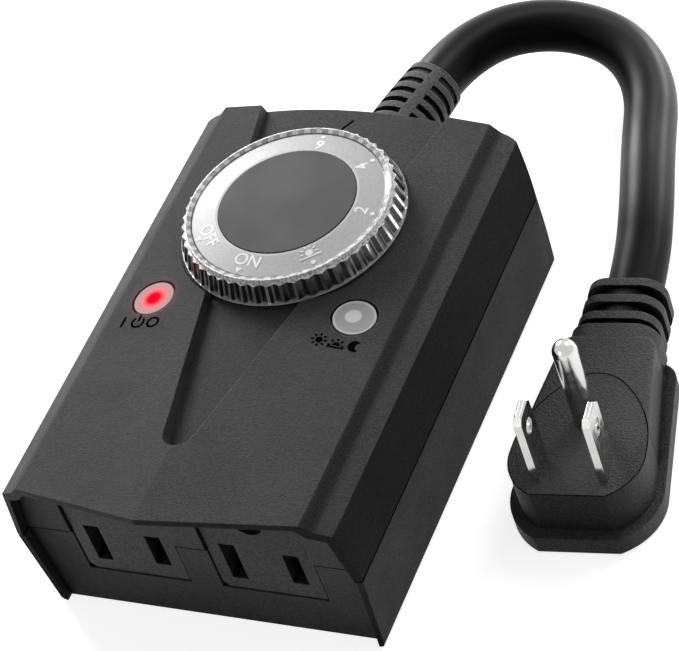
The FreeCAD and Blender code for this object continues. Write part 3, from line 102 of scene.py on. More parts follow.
# Legend: what all of it is turned by, a capital's height and its share of the font's size, then words,
# dots, arrows and the dusk sign by angle in degrees and radius in millimetres
DIAL_TURN_OFFSET = math.radians(-4.8)
LETTER_HEIGHT = 2.5 * MM
CAPITAL_SHARE = 0.7
LEGEND = [
    ("ON", -92, 15.8), ("2", 3, 15.9), ("4", 48, 15.9), ("6", 93, 15.9), ("8", 137, 15.9),
    ("OFF", -136, 16.2)]
LEGEND_DOTS = [(-47, 18.1), (2, 18.2), (50, 18.2), (94, 18.2), (136, 18.2)]
LEGEND_ARROWS = [(-95, 18.2), (-138, 18.3)]
DUSK_PLACE = (-47, 15.7)
DOT_RADIUS = 0.48
ARROW = [(-0.75, 0.6), (0.75, 0.6), (0, -0.7)]

# Lenses beside the middle, where the painted glow round the lit one fades and ends below, the pale cell
# under the grey one, and the signs under both
LENS_SIDE = 21.2 * MM
LENS_BACK = 0.6 * MM
LENS_RADIUS = 4.1 * MM
LENS_FOOT = 34.0 * MM
GLOW_START = 4.7 * MM
GLOW_END = 6.75 * MM
CELL_CENTRE = (LENS_SIDE - 0.35 * MM, LENS_BACK + 0.25 * MM, 0)
CELL_RADIUS = 0.34 * LENS_RADIUS
CELL_EDGE = 0.42 * LENS_RADIUS
POWER_SIGN_PLACE = (-21.8 * MM, -5.75 * MM)
SENSOR_SIGN_PLACE = (20.3 * MM, -6.1 * MM)

# Case: parting line, hood, ridge and panels, and the groove and strip beside each panel
PARTING = 20.4 * MM
PARTING_HALF = 0.22 * MM
PARTING_EDGE = 0.3 * MM
HOOD_FOOT = -44.0 * MM
RIDGE_TOP = 41.0 * MM
PANEL_SLOPE = 4.1 / 28.9
GROOVE_MIDDLE = 29.9 * MM
GROOVE_HALF = 0.5 * MM
GROOVE_EDGE = 1.3 * MM
STRIP_MIDDLE = 32.4 * MM
STRIP_HALF = 0.9 * MM
STRIP_EDGE = 1.7 * MM

# Case: tones against the plain case: the dark parting line, painted shade on the hood edge, and painted
# shade and sheen in the gloss of the groove, strip, flanks and end wall
PARTING_TONE = 0.02
HOOD_EDGE_SHADE = 0.25
GROOVE_SHADE = 0.4
STRIP_SHEEN = 1.35
FLANK_SHADE = 0.3
UPPER_FLANK_SHADE = 0.4
END_WALL_SHADE_LOW = 0.15
END_WALL_SHEEN_HIGH = 1.15
END_WALL_HIGH = 30.0 * MM

# Plug: its face, and in it the core's outline from the front corner to the top, in millimetres
PLUG_PLACE = Vector((62.3, -9.65, 14.0)) * MM
PLUG_TURN = math.radians(6.5)
SEAM_WIDTH = 0.2
CORE_CORNERS = [(7.15, -6.3), (12.8, 4.5), (5.5, 20.8), (0, 23.2)]
CORE_BULGES = [0.16, 0.1, 0.1]

# Cord: where its painted shade and sheen in the gloss change along it and across the bend, its thickness,
# and its route in millimetres
CORD_SHADE_END = 55.0 * MM
CORD_BEND_START = 100.0 * MM
BEND_CENTRE = (25 * MM, 87 * MM, 0)
BEND_INNER = 15 * MM
BEND_OUTER = 26 * MM
CORD_DIAMETER = 11.0 * MM
CORD_ROUTE = [
    (3.0, 81.35, 20.4),
    (4.69, 88.96, 20.4),
    (10.5, 100.95, 17.8),
    (21.5, 107.15, 14.6),
    (34.0, 105.95, 11.4),
    (43.5, 95.45, 9.0),
    (47.6, 77.95, 7.5),
    (52.3, 61.95, 7.0),
    (55.76, 47.78, 7.0),
    (56.89, 37.85, 7.0),
]


def link(thing):
    """Put a new object into the scene."""
    bpy.context.scene.collection.objects.link(thing)
    return thing


def make_camera():
    """Camera with the photograph's viewing angle, distance and roll."""
    back = Vector((
        math.sin(CAMERA_AZIMUTH) * math.cos(CAMERA_ELEVATION),
        -math.cos(CAMERA_AZIMUTH) * math.cos(CAMERA_ELEVATION),
        math.sin(CAMERA_ELEVATION)))
    level_right = (-back).cross(Vector((0, 0, 1))).normalized()
    level_down = (-back).cross(level_right)
    right = level_right * math.cos(CAMERA_ROLL) + level_down * math.sin(CAMERA_ROLL)
    down = level_down * math.cos(CAMERA_ROLL) - level_right * math.sin(CAMERA_ROLL)
    data = bpy.data.cameras.new("camera")
    data.sensor_width = SENSOR_WIDTH
    data.sensor_fit = "HORIZONTAL"
    data.lens = CAMERA_LENS
    data.clip_start = 0.01
    data.clip_end = 50
    camera = link(bpy.data.objects.new("camera", data))
    turn = Matrix((right, -down, back)).transposed()
    camera.matrix_world = Matrix.Translation(CAMERA_PLACE) @ turn.to_4x4()
    bpy.context.scene.camera = camera


class Material:
    """A node material with short calls for what the surfaces here share."""

    def __init__(self, name, colour, roughness, metallic=0.0, specular=0.5):
        self.material = bpy.data.materials.new(name)
        self.material.use_nodes = True
        self.tree = self.material.node_tree
        self.shader = self.tree.nodes["Principled BSDF"]
        self.colour = colour
        self.shader.inputs["Base Color"].default_value = (*colour, 1)
        self.shader.inputs["Roughness"].default_value = roughness
        self.shader.inputs["Metallic"].default_value = metallic
        self.shader.inputs["Specular IOR Level"].default_value = specular
        self.roughness = roughness
        self.place = self.node("ShaderNodeTexCoord").outputs["Object"]
        self.normal = None

    def node(self, kind, **values):
        """A new node with these settings."""
        made = self.tree.nodes.new(kind)
        for name, value in values.items():
            setattr(made, name, value)
        return made

    def join(self, source, target):
        self.tree.links.new(source, target)

    def noise(self, size, detail=2.0, roughness=0.5, stretch=None):
        """Noise whose grains are about this size, in metres."""
        texture = self.node("ShaderNodeTexNoise")
        texture.inputs["Scale"].default_value = 1 / size
        texture.inputs["Detail"].default_value = detail
        texture.inputs["Roughness"].default_value = roughness
        if stretch:
            mapping = self.node("ShaderNodeMapping")
            mapping.inputs["Scale"].default_value = stretch
            self.join(self.place, mapping.inputs["Vector"])
            self.join(mapping.outputs["Vector"], texture.inputs["Vector"])
        else:
            self.join(self.place, texture.inputs["Vector"])
        return texture.outputs["Fac"]

    def spread(self, value, low, high, from_low=0.3, from_high=0.7):
        """The value stretched from one range to another, and held at its ends."""
        ranged = self.node("ShaderNodeMapRange")
        ranged.inputs["From Min"].default_value = from_low
        ranged.inputs["From Max"].default_value = from_high
        ranged.inputs["To Min"].default_value = low
        ranged.inputs["To Max"].default_value = high
        self.join(value, ranged.inputs["Value"])
        return ranged.outputs["Result"]

    def mottle(self, size, amount):
        """Uneven tone: the colour a little darker and lighter in patches."""
        mix = self.node("ShaderNodeMix", data_type="RGBA")
        dark = [channel * (1 - amount) for channel in self.colour]
        light = [min(channel * (1 + amount), 1) for channel in self.colour]
        mix.inputs["A"].default_value = (*dark, 1)
        mix.inputs["B"].default_value = (*light, 1)
        self.join(self.spread(self.noise(size, 3.0), 0, 1), mix.inputs["Factor"])
        self.join(mix.outputs["Result"], self.shader.inputs["Base Color"])
        return self

    def uneven_gloss(self, size, amount):
        """Patches a little rougher and smoother."""
        value = self.spread(self.noise(size, 4.0), self.roughness - amount, self.roughness + amount)
        self.join(value, self.shader.inputs["Roughness"])
        return self

    def round_edges(self, radius):
        """Shade sharp edges as if they had this radius."""
        bevel = self.node("ShaderNodeBevel", samples=SHADING_SAMPLES)
        bevel.inputs["Radius"].default_value = radius
        self.normal = bevel.outputs["Normal"]
        self.join(self.normal, self.shader.inputs["Normal"])
        return self

    def bump(self, height, depth):
        """Relief of this depth in metres, on top of the rounded edges."""
        bump = self.node("ShaderNodeBump")
        bump.inputs["Distance"].default_value = depth
        bump.inputs["Strength"].default_value = 1.0
        self.join(height, bump.inputs["Height"])
        if self.normal:
            self.join(self.normal, bump.inputs["Normal"])
        self.normal = bump.outputs["Normal"]
        self.join(self.normal, self.shader.inputs["Normal"])
        return self

    def grain(self, size, depth, roughness=0.6):
        """Fine relief all over."""
        return self.bump(self.noise(size, 3.0, roughness), depth)

    def distance_from(self, centre):
        """How far a point lies from a place, seen from above."""
        moved = self.node("ShaderNodeVectorMath", operation="SUBTRACT")
        moved.inputs[1].default_value = centre
        self.join(self.place, moved.inputs[0])
        flat = self.node("ShaderNodeVectorMath", operation="MULTIPLY")
        flat.inputs[1].default_value = (1, 1, 0)
        self.join(moved.outputs["Vector"], flat.inputs[0])
        length = self.node("ShaderNodeVectorMath", operation="LENGTH")
        self.join(flat.outputs["Vector"], length.inputs[0])
        return length.outputs["Value"]

    def maths(self, operation, first, second=0.0):
        """A sum on numbers or on what other nodes give."""
        made = self.node("ShaderNodeMath", operation=operation)
        for socket, value in zip(made.inputs, (first, second)):
            if isinstance(value, (int, float)):
                socket.default_value = value
            else:
                self.join(value, socket)
        return made.outputs["Value"]

    def blend(self, share, low, high):
        """One colour or tone where the share is 0, the other where it is 1."""
        mix = self.node("ShaderNodeMix", data_type="RGBA")
        self.join(share, mix.inputs["Factor"])
        for socket, value in (("A", low), ("B", high)):
            if isinstance(value, (int, float)):
                mix.inputs[socket].default_value = (value, value, value, 1)
            elif isinstance(value, tuple):
                mix.inputs[socket].default_value = (*value, 1)
            else:
                self.join(value, mix.inputs[socket])
        return mix.outputs["Result"]

    def parts(self, vector):
        """The x, y and z of a vector."""
        made = self.node("ShaderNodeSeparateXYZ")
        self.join(vector, made.inputs["Vector"])
        return made.outputs

    def flat_normal(self):
        """The direction of each face, for pieces that don't move."""
        return self.parts(self.node("ShaderNodeNewGeometry").outputs["True Normal"])

    def edge_highlight_mask(self):
        """1 on the rounded edges, where painted highlights go, 0 on the flats between them."""
        turned = self.node("ShaderNodeVectorMath", operation="DOT_PRODUCT")
        self.join(self.normal, turned.inputs[0])
        flat = self.node("ShaderNodeNewGeometry").outputs["True Normal"]
        self.join(flat, turned.inputs[1])
        return self.spread(turned.outputs["Value"], 1, 0, 0.93, 0.995)

    def shade_in_creases(self, reach, low):
        """Painted shade: 1 in the open, and lower down to this value in the piece's own creases."""
        closed = self.node("ShaderNodeAmbientOcclusion", samples=SHADING_SAMPLES, only_local=True)
        closed.inputs["Distance"].default_value = reach
        return self.spread(closed.outputs["AO"], low, 1, 0.45, 0.85)

    def product(self, factors):
        """All factors times each other."""
        result = factors[0]
        for factor in factors[1:]:
            result = self.maths("MULTIPLY", result, factor)
        return result

    def tint(self, factors):
        """The colour times these tones."""
        scaled = self.node("ShaderNodeVectorMath", operation="SCALE")
        scaled.inputs[0].default_value = self.colour
        self.join(self.product(factors), scaled.inputs["Scale"])
        self.join(scaled.outputs["Vector"], self.shader.inputs["Base Color"])
        return self

    def dull(self, factors):
        """Less gloss where the product of these is low."""
        level = self.shader.inputs["Specular IOR Level"]
        self.join(self.maths("MULTIPLY", self.product(factors), level.default_value), level)
        return self

    def level_where(self, mask, level):
        """1, and this level where the mask is 1."""
        return self.spread(mask, 1, level, 0, 1)

    def speckle(self, size, low, high):
        """Grains between two levels."""
        return self.spread(self.noise(size, 2.0, 0.7), low, high, 0.35, 0.65)

    def patches(self, low, high):
        """Soft patches between two levels."""
        return self.spread(self.noise(0.02, 3.0), low, high)

    def band(self, value, middle, half, edge):
        """1 within half a width of the middle, 0 from the edge on."""
        away = self.maths("ABSOLUTE", self.maths("SUBTRACT", value, middle))
        return self.spread(away, 1, 0, half, edge)

    def ramp(self, value, stops):
        """Colours over a value, each stop (position, colour)."""
        ramp = self.node("ShaderNodeValToRGB")
        elements = ramp.color_ramp.elements
        while len(elements) < len(stops):
            elements.new(0.5)
        for element, (position, colour) in zip(elements, stops):
            element.position = position
            element.color = (*colour, 1)
        self.join(value, ramp.inputs["Fac"])
        return ramp.outputs["Color"]


def moulded(name, colour, roughness, grain_size=0.0003, grain_depth=0.00003, edge=0.0003, specular=0.5):
    """Moulded plastic with a spark-eroded grain and softly rounded edges."""
    made = Material(name, colour, roughness, specular=specular)
    made.mottle(*TONE_PATCHES).uneven_gloss(*GLOSS_PATCHES).round_edges(edge)
    made.grain(grain_size, grain_depth)
    return made


def black_plastic(
        name, colour, roughness, specular, grain_size, grain_depth, edge, reach=0.0015, end_wall_shade=1.0):
    """Black moulding: speckled grain, painted highlights on its edges, painted shade in its creases, and
    painted shade as less gloss on its end walls where asked.
    """
    made = Material(name, colour, roughness, specular=specular)
    made.uneven_gloss(*GLOSS_PATCHES).round_edges(edge)
    # Painted shade in the creases, on the colour and the gloss.
    crease_shade = made.shade_in_creases(reach, 0.1)
    # Painted highlights: the rounded edges three times as light.
    edge_highlight = made.level_where(made.edge_highlight_mask(), 3.0)
    made.tint([made.speckle(grain_size, 0.6, 1.4), edge_highlight, crease_shade])
    glints = made.speckle(grain_size, 0.75, 1.25)
    # Painted shade: less gloss on the faces that look forward, by the share given.
    end_wall = made.spread(made.flat_normal()[1], end_wall_shade, 1, -0.9, -0.4)
    made.dull([crease_shade, glints, end_wall, made.patches(0.92, 1.08)])
    made.grain(grain_size, grain_depth, 0.65)
    return made


def hood_edge_shade(made, along, front, edges):
    """Painted shade along the hood's foremost edge."""
    under_hood = made.spread(along, 1, 0, HOOD_FOOT - 0.4 * MM, HOOD_FOOT)
    foremost = made.maths("MAXIMUM", made.spread(front, 1, 0, -0.93, -0.85), edges)
    return made.level_where(made.product([under_hood, foremost]), HOOD_EDGE_SHADE)


def wall_shade_and_sheen(made, side, front, height):
    """Painted shade in the gloss of the flanks, more of it above the parting line, and painted sheen on
    the end wall that fades downwards to painted shade.
    """
    flank = made.spread(made.maths("ABSOLUTE", side), 0, 1, 0.9, 0.97)
    upper = made.spread(height, 0, 1, PARTING - 0.05 * MM, PARTING + 0.05 * MM)
    end_wall = made.spread(front, 1, 0, -0.97, -0.9)
    faded = made.spread(height, END_WALL_SHADE_LOW, END_WALL_SHEEN_HIGH, 0, END_WALL_HIGH)
    end_change = made.maths("MULTIPLY", end_wall, made.maths("SUBTRACT", faded, 1))
    return [
        made.level_where(flank, FLANK_SHADE),
        made.level_where(made.product([flank, upper]), UPPER_FLANK_SHADE),
        made.maths("ADD", end_change, 1)]


def panel_shade_and_sheen(made, across, up):
    """Painted shade in the gloss of the groove and painted sheen in the gloss of the strip beside each
    panel.
    """
    beside = made.maths("ABSOLUTE", across)
    facing_up = made.spread(up, 0, 1, 0.3, 0.5)
    groove = made.band(beside, GROOVE_MIDDLE, GROOVE_HALF, GROOVE_EDGE)
    strip = made.band(beside, STRIP_MIDDLE, STRIP_HALF, STRIP_EDGE)
    return [
        made.level_where(made.product([groove, facing_up]), GROOVE_SHADE),
        made.level_where(made.product([strip, facing_up]), STRIP_SHEEN)]


def red_glow(made, height):
    """Painted glow: the lit lens's light painted on the case round it as the case's own red glow."""
    from_lamp = made.distance_from((-LENS_SIDE, LENS_BACK, 0))
    away = made.spread(from_lamp, 0, 1, GLOW_START, GLOW_END)
    far_below = made.spread(height, 1, 0, LENS_FOOT - 1 * MM, LENS_FOOT)
    glow = made.ramp(made.maths("MAXIMUM", away, far_below), [
        (0.0, (0.045, 0.001, 0.003)), (0.4, (0.014, 0.0, 0.001)), (1.0, (0.0, 0.0, 0.0))])
    made.join(glow, made.shader.inputs["Emission Color"])
    made.shader.inputs["Emission Strength"].default_value = 1.0


def cover_material():
    """Black case: sand-like grain, painted highlights on its edges, painted shade in its creases and
    along the hood edge, a dark parting line, painted shade and sheen in its gloss, and the lit lens's
    painted glow.
    """
    made = Material("cover", COVER_BLACK, 0.5, specular=0.225)
    made.uneven_gloss(*GLOSS_PATCHES).round_edges(0.0004)
    edges = made.edge_highlight_mask()
    across, along, height = made.parts(made.place)
    side, front, up = made.flat_normal()
    # Painted shade in the creases, on the colour and the gloss.
    crease_shade = made.shade_in_creases(0.0015, 0.15)
    on_line = made.band(height, PARTING, PARTING_HALF, PARTING_EDGE)
    # Painted shade in the creases and along the hood edge, and the dark parting line.
    dark = [crease_shade, made.level_where(on_line, PARTING_TONE), hood_edge_shade(made, along, front, edges)]
    # Painted highlights: the rounded edges 3.5 times as light.
    edge_highlight = made.level_where(edges, 3.5)
    made.tint([made.speckle(0.00028, 0.6, 1.4), made.patches(0.93, 1.07), edge_highlight] + dark)
    # Painted shade and sheen in the gloss of the walls and of the groove and strip.
    walls = wall_shade_and_sheen(made, side, front, height)
    made.dull(dark + walls + panel_shade_and_sheen(made, across, up) + [made.speckle(0.00045, 0.7, 1.3)])
    # Painted glow of the lit lens on the case.
    red_glow(made, height)
    made.grain(0.0003, 0.00042, 0.65)
    return made


def cord_material():
    """Black vinyl jacket, with painted sheen on the outside of the bend and painted shade inside it and
    down by the plug, both in its gloss.
    """
    made = Material("cord_jacket", (0.003, 0.003, 0.0033), 0.4, specular=0.17)
    made.mottle(*TONE_PATCHES).uneven_gloss(*GLOSS_PATCHES)
    along = made.parts(made.place)[1]
    # Painted shade and sheen in the gloss: dull down by the plug and inside the bend, glossy outside it.
    sheen_up_cord = made.spread(along, 0.16, 1.3, CORD_SHADE_END, CORD_BEND_START)
    outer_sheen = made.spread(made.distance_from(BEND_CENTRE), 0.1, 2.0, BEND_INNER, BEND_OUTER)
    made.dull([sheen_up_cord, outer_sheen])
    made.grain(0.0006, 0.000012)
    return made


def metal(name, colour, roughness, streak=None):
    """Bare metal, a little worn, with its scratches stretched along one direction if given."""
    made = Material(name, colour, roughness, metallic=1.0)
    made.mottle(0.004, 0.06).uneven_gloss(0.002, roughness * 0.4).round_edges(0.00015)
    made.bump(made.noise(0.0006, 3.0, 0.6, streak), 0.000006)
    return made


def red_lens_material():
    """Frosted lens with the lit lamp's red core, fading through pink to its grey rim."""
    made = Material("red_lens", (0.2, 0.18, 0.18), 0.8, specular=0.0)
    reach = made.spread(made.distance_from((-LENS_SIDE, LENS_BACK, 0)), 0, 1, 0, LENS_RADIUS)
    tone = made.ramp(reach, [
        (0.0, (0.0, 0.0, 0.0)), (0.35, (0.02, 0.0, 0.0)), (0.8, (0.28, 0.2, 0.2)),
        (1.0, (0.42, 0.4, 0.4))])
    made.join(tone, made.shader.inputs["Base Color"])
    glow = made.ramp(reach, [
        (0.0, (1.0, 0.0, 0.03)), (0.3, (1.0, 0.004, 0.035)), (0.55, (0.95, 0.16, 0.18)),
        (0.78, (0.45, 0.14, 0.14)), (1.0, (0.04, 0.02, 0.02))])
    made.join(glow, made.shader.inputs["Emission Color"])
    made.shader.inputs["Emission Strength"].default_value = 0.95
    return made


def grey_lens_material():
    """Smoked lens with the pale cell showing in its middle and a painted highlight along its edge."""
    made = Material("grey_lens", (0.2, 0.195, 0.19), 0.5, specular=0.2)
    reach = made.spread(made.distance_from((LENS_SIDE, LENS_BACK, 0)), 0, 1, 0, LENS_RADIUS)
    cell = made.spread(made.distance_from(CELL_CENTRE), 1, 0, CELL_RADIUS, CELL_EDGE)
    # Painted highlight: a lighter ring near the lens's edge.
    ring = made.ramp(reach, [
        (0.0, (0.3, 0.3, 0.3)), (0.86, (0.33, 0.33, 0.33)), (0.94, (0.55, 0.55, 0.55)),
        (1.0, (0.42, 0.42, 0.42))])
    made.join(made.blend(cell, ring, 0.6), made.shader.inputs["Base Color"])
    return made


def knob_painted_streaks(made, angle):
    """Painted reflections: a wide and a thin bright line down the skirt by each tooth, and few of them on
    one side as painted shade.
    """
    lines = []
    for phase, begins, full in (MAIN_STREAK, THIN_STREAK):
        wave = made.maths("COSINE", made.maths("ADD", made.maths("MULTIPLY", angle, TEETH), phase))
        lines.append(made.spread(wave, 0, 1, begins, full))
    from_streakless = made.maths("COSINE", made.maths("SUBTRACT", angle, STREAKLESS))
    strength = made.product([
        made.spread(made.noise(0.0014, 1.0, 0.5, (1, 1, 0.03)), 0.2, 1, 0.4, 0.6),
        made.spread(from_streakless, 1, 0.15, 0.92, 0.985)])
    brightest = made.maths("MAXIMUM", lines[0], made.maths("MULTIPLY", lines[1], 0.4))
    return made.maths("MULTIPLY", strength, brightest)


def knob_top(made, reach, stripes):
    """Tones seen from above: frosted face; its edge as a painted dark line where the shaded inner wall
    shows through; blocks in the rim painted as teeth seen through it; tooth tops painted pale as if lit
    from within, with painted glints.
    """
    on_face = made.spread(reach, 1, 0, FACE_OUTER[0] - 0.02 * MM, FACE_OUTER[0] + 0.06 * MM)
    # Painted shade: a dark line just outside the face's edge.
    on_edge = made.band(reach, FACE_OUTER[0] + 0.2 * MM, 0.1 * MM, 0.18 * MM)
    in_rim = made.spread(reach, 1, 0, RIM_INNER - 0.1 * MM, RIM_INNER)
    frost = made.spread(made.noise(0.0004, 4.0, 0.7), 0, 1, 0.3, 0.7)
    # Painted glints in the rim's blocks and on the tooth tops.
    painted_glints = made.spread(made.noise(0.0005, 4.0, 0.75), 0, 1, 0.42, 0.56)
    face = made.blend(frost, 0.36, 0.51)
    blocks = made.blend(painted_glints, made.blend(stripes, 0.22, 0.5), made.blend(stripes, 0.4, 0.75))
    tooth_tops = made.blend(painted_glints, 0.35, 0.95)
    rim = made.blend(on_edge, made.blend(in_rim, tooth_tops, blocks), 0.08)
    return on_face, made.blend(on_face, rim, face)


def clear_knob_material():
    """Clear plastic: frosted dished face, the rim and tooth tops painted as seen through and lit, and
    painted reflections as bright streaks between dark ones down the skirt.
    """
    made = Material("clear_knob", (0.9, 0.9, 0.9), 0.05)
    across, along, height = made.parts(made.place)
    angle = made.maths("ARCTAN2", made.maths("SUBTRACT", along, DIAL_CENTRE.y), across)
    crest = made.maths("COSINE", made.maths("MULTIPLY", angle, TEETH))
    stripes = made.spread(crest, 0, 1, -0.3, 0.5)
    on_face, top = knob_top(made, made.distance_from(DIAL_CENTRE), stripes)
    # Painted reflections: bright streaks down the skirt, made mirror-like metal where they lie.
    painted_streaks = knob_painted_streaks(made, angle)
    foot = made.spread(height, 1, 0, TOOTH_FOOT - 0.02 * MM, TOOTH_FOOT + 0.02 * MM)
    skirt = made.blend(foot, made.blend(painted_streaks, 0.006, 0.95), 0.6)
    above = made.spread(height, 0, 1, TOOTH_TOP - 0.06 * MM, TOOTH_TOP - 0.02 * MM)
    made.join(made.blend(above, skirt, top), made.shader.inputs["Base Color"])
    below = made.maths("SUBTRACT", 1, above)
    mirrors = made.product([below, made.maths("SUBTRACT", 1, foot), painted_streaks])
    made.join(mirrors, made.shader.inputs["Metallic"])
    made.join(made.spread(on_face, 0.16, 0.42, 0, 1), made.shader.inputs["Roughness"])
    made.shader.inputs["Transmission Weight"].default_value = 0.1
    made.shader.inputs["IOR"].default_value = 1.5
    made.grain(0.0005, 0.00003)
    return made


def dark_ink(name, tone):
    """Dull black of the thin signs and of the seam."""
    ink = moulded(
        name, (tone, tone, tone), 0.9, grain_size=0.0005, grain_depth=0.000004, edge=0.0001,
        specular=0.0)
    return ink.material


def board_material():
    """Green board with paler lines."""
    made = Material("board", (0.015, 0.12, 0.045), 0.3)
    lines = made.node("ShaderNodeTexBrick")
    lines.inputs["Scale"].default_value = 300
    lines.inputs["Color1"].default_value = (0.012, 0.1, 0.04, 1)
    lines.inputs["Color2"].default_value = (0.016, 0.13, 0.05, 1)
    lines.inputs["Mortar"].default_value = (0.03, 0.2, 0.08, 1)
    made.join(made.place, lines.inputs["Vector"])
    made.join(lines.outputs["Color"], made.shader.inputs["Base Color"])
    made.bump(lines.outputs["Fac"], 0.00003)
    return made


def make_materials():
    """One material for each slot of the record."""
    vinyl = dict(grain_size=0.0006, grain_depth=0.000012, edge=0.0003)
    smooth = dict(grain_size=0.001, grain_depth=0.000006, edge=0.0002)
    leathery = dict(grain_size=0.00045, grain_depth=0.0005, edge=0.0004, reach=0.003)
    return {
        "cover": cover_material(),
        "outlet_plastic": black_plastic(
            "outlet_plastic", (0.016, 0.016, 0.017), 0.45, 0.16, grain_size=0.0005,
            grain_depth=0.00001, edge=0.0002),
        "seal_rubber": moulded("seal_rubber", (0.06, 0.06, 0.06), 0.7, **vinyl),
        "screw_steel": metal("screw_steel", (0.55, 0.55, 0.56), 0.35),
        "spring_steel": metal("spring_steel", (0.6, 0.6, 0.6), 0.25),
        "board": board_material(),
        "switch_plastic": moulded("switch_plastic", (0.05, 0.05, 0.055), 0.35, **smooth),
        "rotor_plastic": moulded("rotor_plastic", (0.6, 0.6, 0.57), 0.4, **smooth),
        "clear_knob": clear_knob_material(),
        "disc_black": moulded(
            "disc_black", (0.045, 0.043, 0.044), 0.6, grain_size=0.0004, grain_depth=0.000006,
            edge=0.0002, specular=0.25),
        "red_lens": red_lens_material(),
        "grey_lens": grey_lens_material(),
        "led_epoxy": moulded("led_epoxy", (0.6, 0.03, 0.03), 0.15, **smooth),
        "cell": moulded("cell", (0.55, 0.35, 0.2), 0.25, **smooth),
        "relay_case": moulded("relay_case", (0.03, 0.07, 0.3), 0.35, **smooth),
        "film_capacitor": moulded("film_capacitor", (0.5, 0.36, 0.04), 0.35, **smooth),
        "electrolytic": moulded("electrolytic", (0.02, 0.03, 0.09), 0.3, **smooth),
        "varistor_blue": moulded("varistor_blue", (0.03, 0.1, 0.35), 0.45, **vinyl),
        "chip_black": moulded("chip_black", (0.015, 0.015, 0.015), 0.6, **vinyl),
        "contact_brass": metal("contact_brass", (0.5, 0.45, 0.33), 0.3),
        "cord_jacket": cord_material(),
        "wire_black": moulded("wire_black", (0.015, 0.015, 0.015), 0.45, **vinyl),
        "wire_white": moulded("wire_white", (0.7, 0.7, 0.68), 0.45, **vinyl),
        "wire_green": moulded("wire_green", (0.02, 0.22, 0.06), 0.45, **vinyl),
        "relief_rubber": black_plastic("relief_rubber", (0.05, 0.05, 0.053), 0.55, 0.32, **leathery),
        # Painted shade: the plug's faces that look forward get less gloss.
        "plug_vinyl": black_plastic("plug_vinyl", PLUG_BLACK, 0.5, 0.36, end_wall_shade=0.3, **leathery),
        "plug_core_black": black_plastic(
            "plug_core_black", PLUG_BLACK, 0.5, 0.36, end_wall_shade=0.3, **leathery),
        "plug_metal": metal("plug_metal", (0.6, 0.595, 0.585), 0.17, (1, 1, 0.15)),
    }


def dress_nodes(materials):
    """Give each node of the frame the material of its slot."""
    for entry in frame["record"]["subparts"]:
        thing = frame["nodes"][entry["node"]]
        thing.data.materials.clear()
        thing.data.materials.append(materials[entry["material_slot"]].material)


def make_cord(materials):
    """The cord as one smooth line along its route, thick as its jacket."""
    curve = bpy.data.curves.new("cord_line", "CURVE")
    curve.dimensions = "3D"
    spline = curve.splines.new("NURBS")
    spline.points.add(len(CORD_ROUTE) - 1)
    for point, place in zip(spline.points, CORD_ROUTE):
        point.co = (*(Vector(place) * MM), 1)
    spline.order_u = 3
    spline.use_endpoint_u = True
    curve.resolution_u = 24
    curve.bevel_depth = CORD_DIAMETER / 2
    curve.bevel_resolution = 12
    curve.use_fill_caps = True
    curve.materials.append(materials["cord_jacket"].material)
    cord = link(bpy.data.objects.new("cord_line", curve))
    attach(cord, "housing")
    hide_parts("cord")


def mesh_object(name, work, material):
    """A new object from mesh work, in one material."""
    mesh = bpy.data.meshes.new(name)
    work.to_mesh(mesh)
    work.free()
    mesh.materials.append(material)
    return link(bpy.data.objects.new(name, mesh))


def flat_shape(name, outlines, thickness, transform, material, body):
    """Thin raised shapes: closed outlines in millimetres, put in place by a transform."""
    work = bmesh.new()
    for outline in outlines:
        top = [work.verts.new(transform @ Vector((x * MM, y * MM, thickness))) for x, y in outline]
        low = [work.verts.new(transform @ Vector((x * MM, y * MM, 0))) for x, y in outline]
        work.faces.new(top)
        work.faces.new(list(reversed(low)))
        for index in range(len(outline)):
            following = (index + 1) % len(outline)
            work.faces.new([low[index], low[following], top[following], top[index]])
    bmesh.ops.recalc_face_normals(work, faces=work.faces)
    thing = mesh_object(name, work, material)
    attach(thing, body)


def round_about(x, y, radius, turns):
    """Points at these angles round a place."""
    return [(x + radius * math.cos(turn), y + radius * math.sin(turn)) for turn in turns]


def circle(x, y, radius, steps=24):
    """A circle as one outline."""
    return round_about(x, y, radius, [2 * math.pi * step / steps for step in range(steps)])


def half_circle(x, y, radius, steps=12):
    """The upper half of a circle."""
    return round_about(x, y, radius, [math.pi * step / steps for step in range(steps + 1)])


def bar(x, y, length, width, angle):
    """A thin bar that starts at a point and runs at an angle."""
    along = Vector((math.cos(angle), math.sin(angle)))
    side = Vector((-along.y, along.x)) * (width / 2)
    start = Vector((x, y))
    end = start + along * length
    return [tuple(start - side), tuple(end - side), tuple(end + side), tuple(start + side)]


def rays(x, y, start, length, width, turns):
    """Thin bars that point away from a place."""
    return [bar(*foot, length, width, turn) for foot, turn in zip(round_about(x, y, start, turns), turns)]


def ring_pieces(x, y, radius, width, start, end, steps=28):
    """An arc of a ring as short blocks."""
    pieces = []
    for step in range(steps):
        first = start + (end - start) * step / steps
        second = start + (end - start) * (step + 1) / steps
        inner = round_about(x, y, radius - width / 2, [first, second])
        outer = round_about(x, y, radius + width / 2, [first, second])
        pieces.append([inner[0], outer[0], outer[1], inner[1]])
    return pieces


def on_dial(angle, radius):
    """Frame of a mark on the dial's sloping face whose foot points outwards."""
    turn = math.radians(angle) + DIAL_TURN_OFFSET
    slope = (FACE_INNER[1] - FACE_OUTER[1]) / (FACE_OUTER[0] - FACE_INNER[0])
    height = FACE_INNER[1] - slope * (radius * MM - FACE_INNER[0])
    place = DIAL_CENTRE + Vector((radius * MM * math.cos(turn), radius * MM * math.sin(turn), height))
    lean = Matrix.Rotation(math.atan(slope), 4, "X")
    return Matrix.Translation(place) @ Matrix.Rotation(turn + math.pi / 2, 4, "Z") @ lean


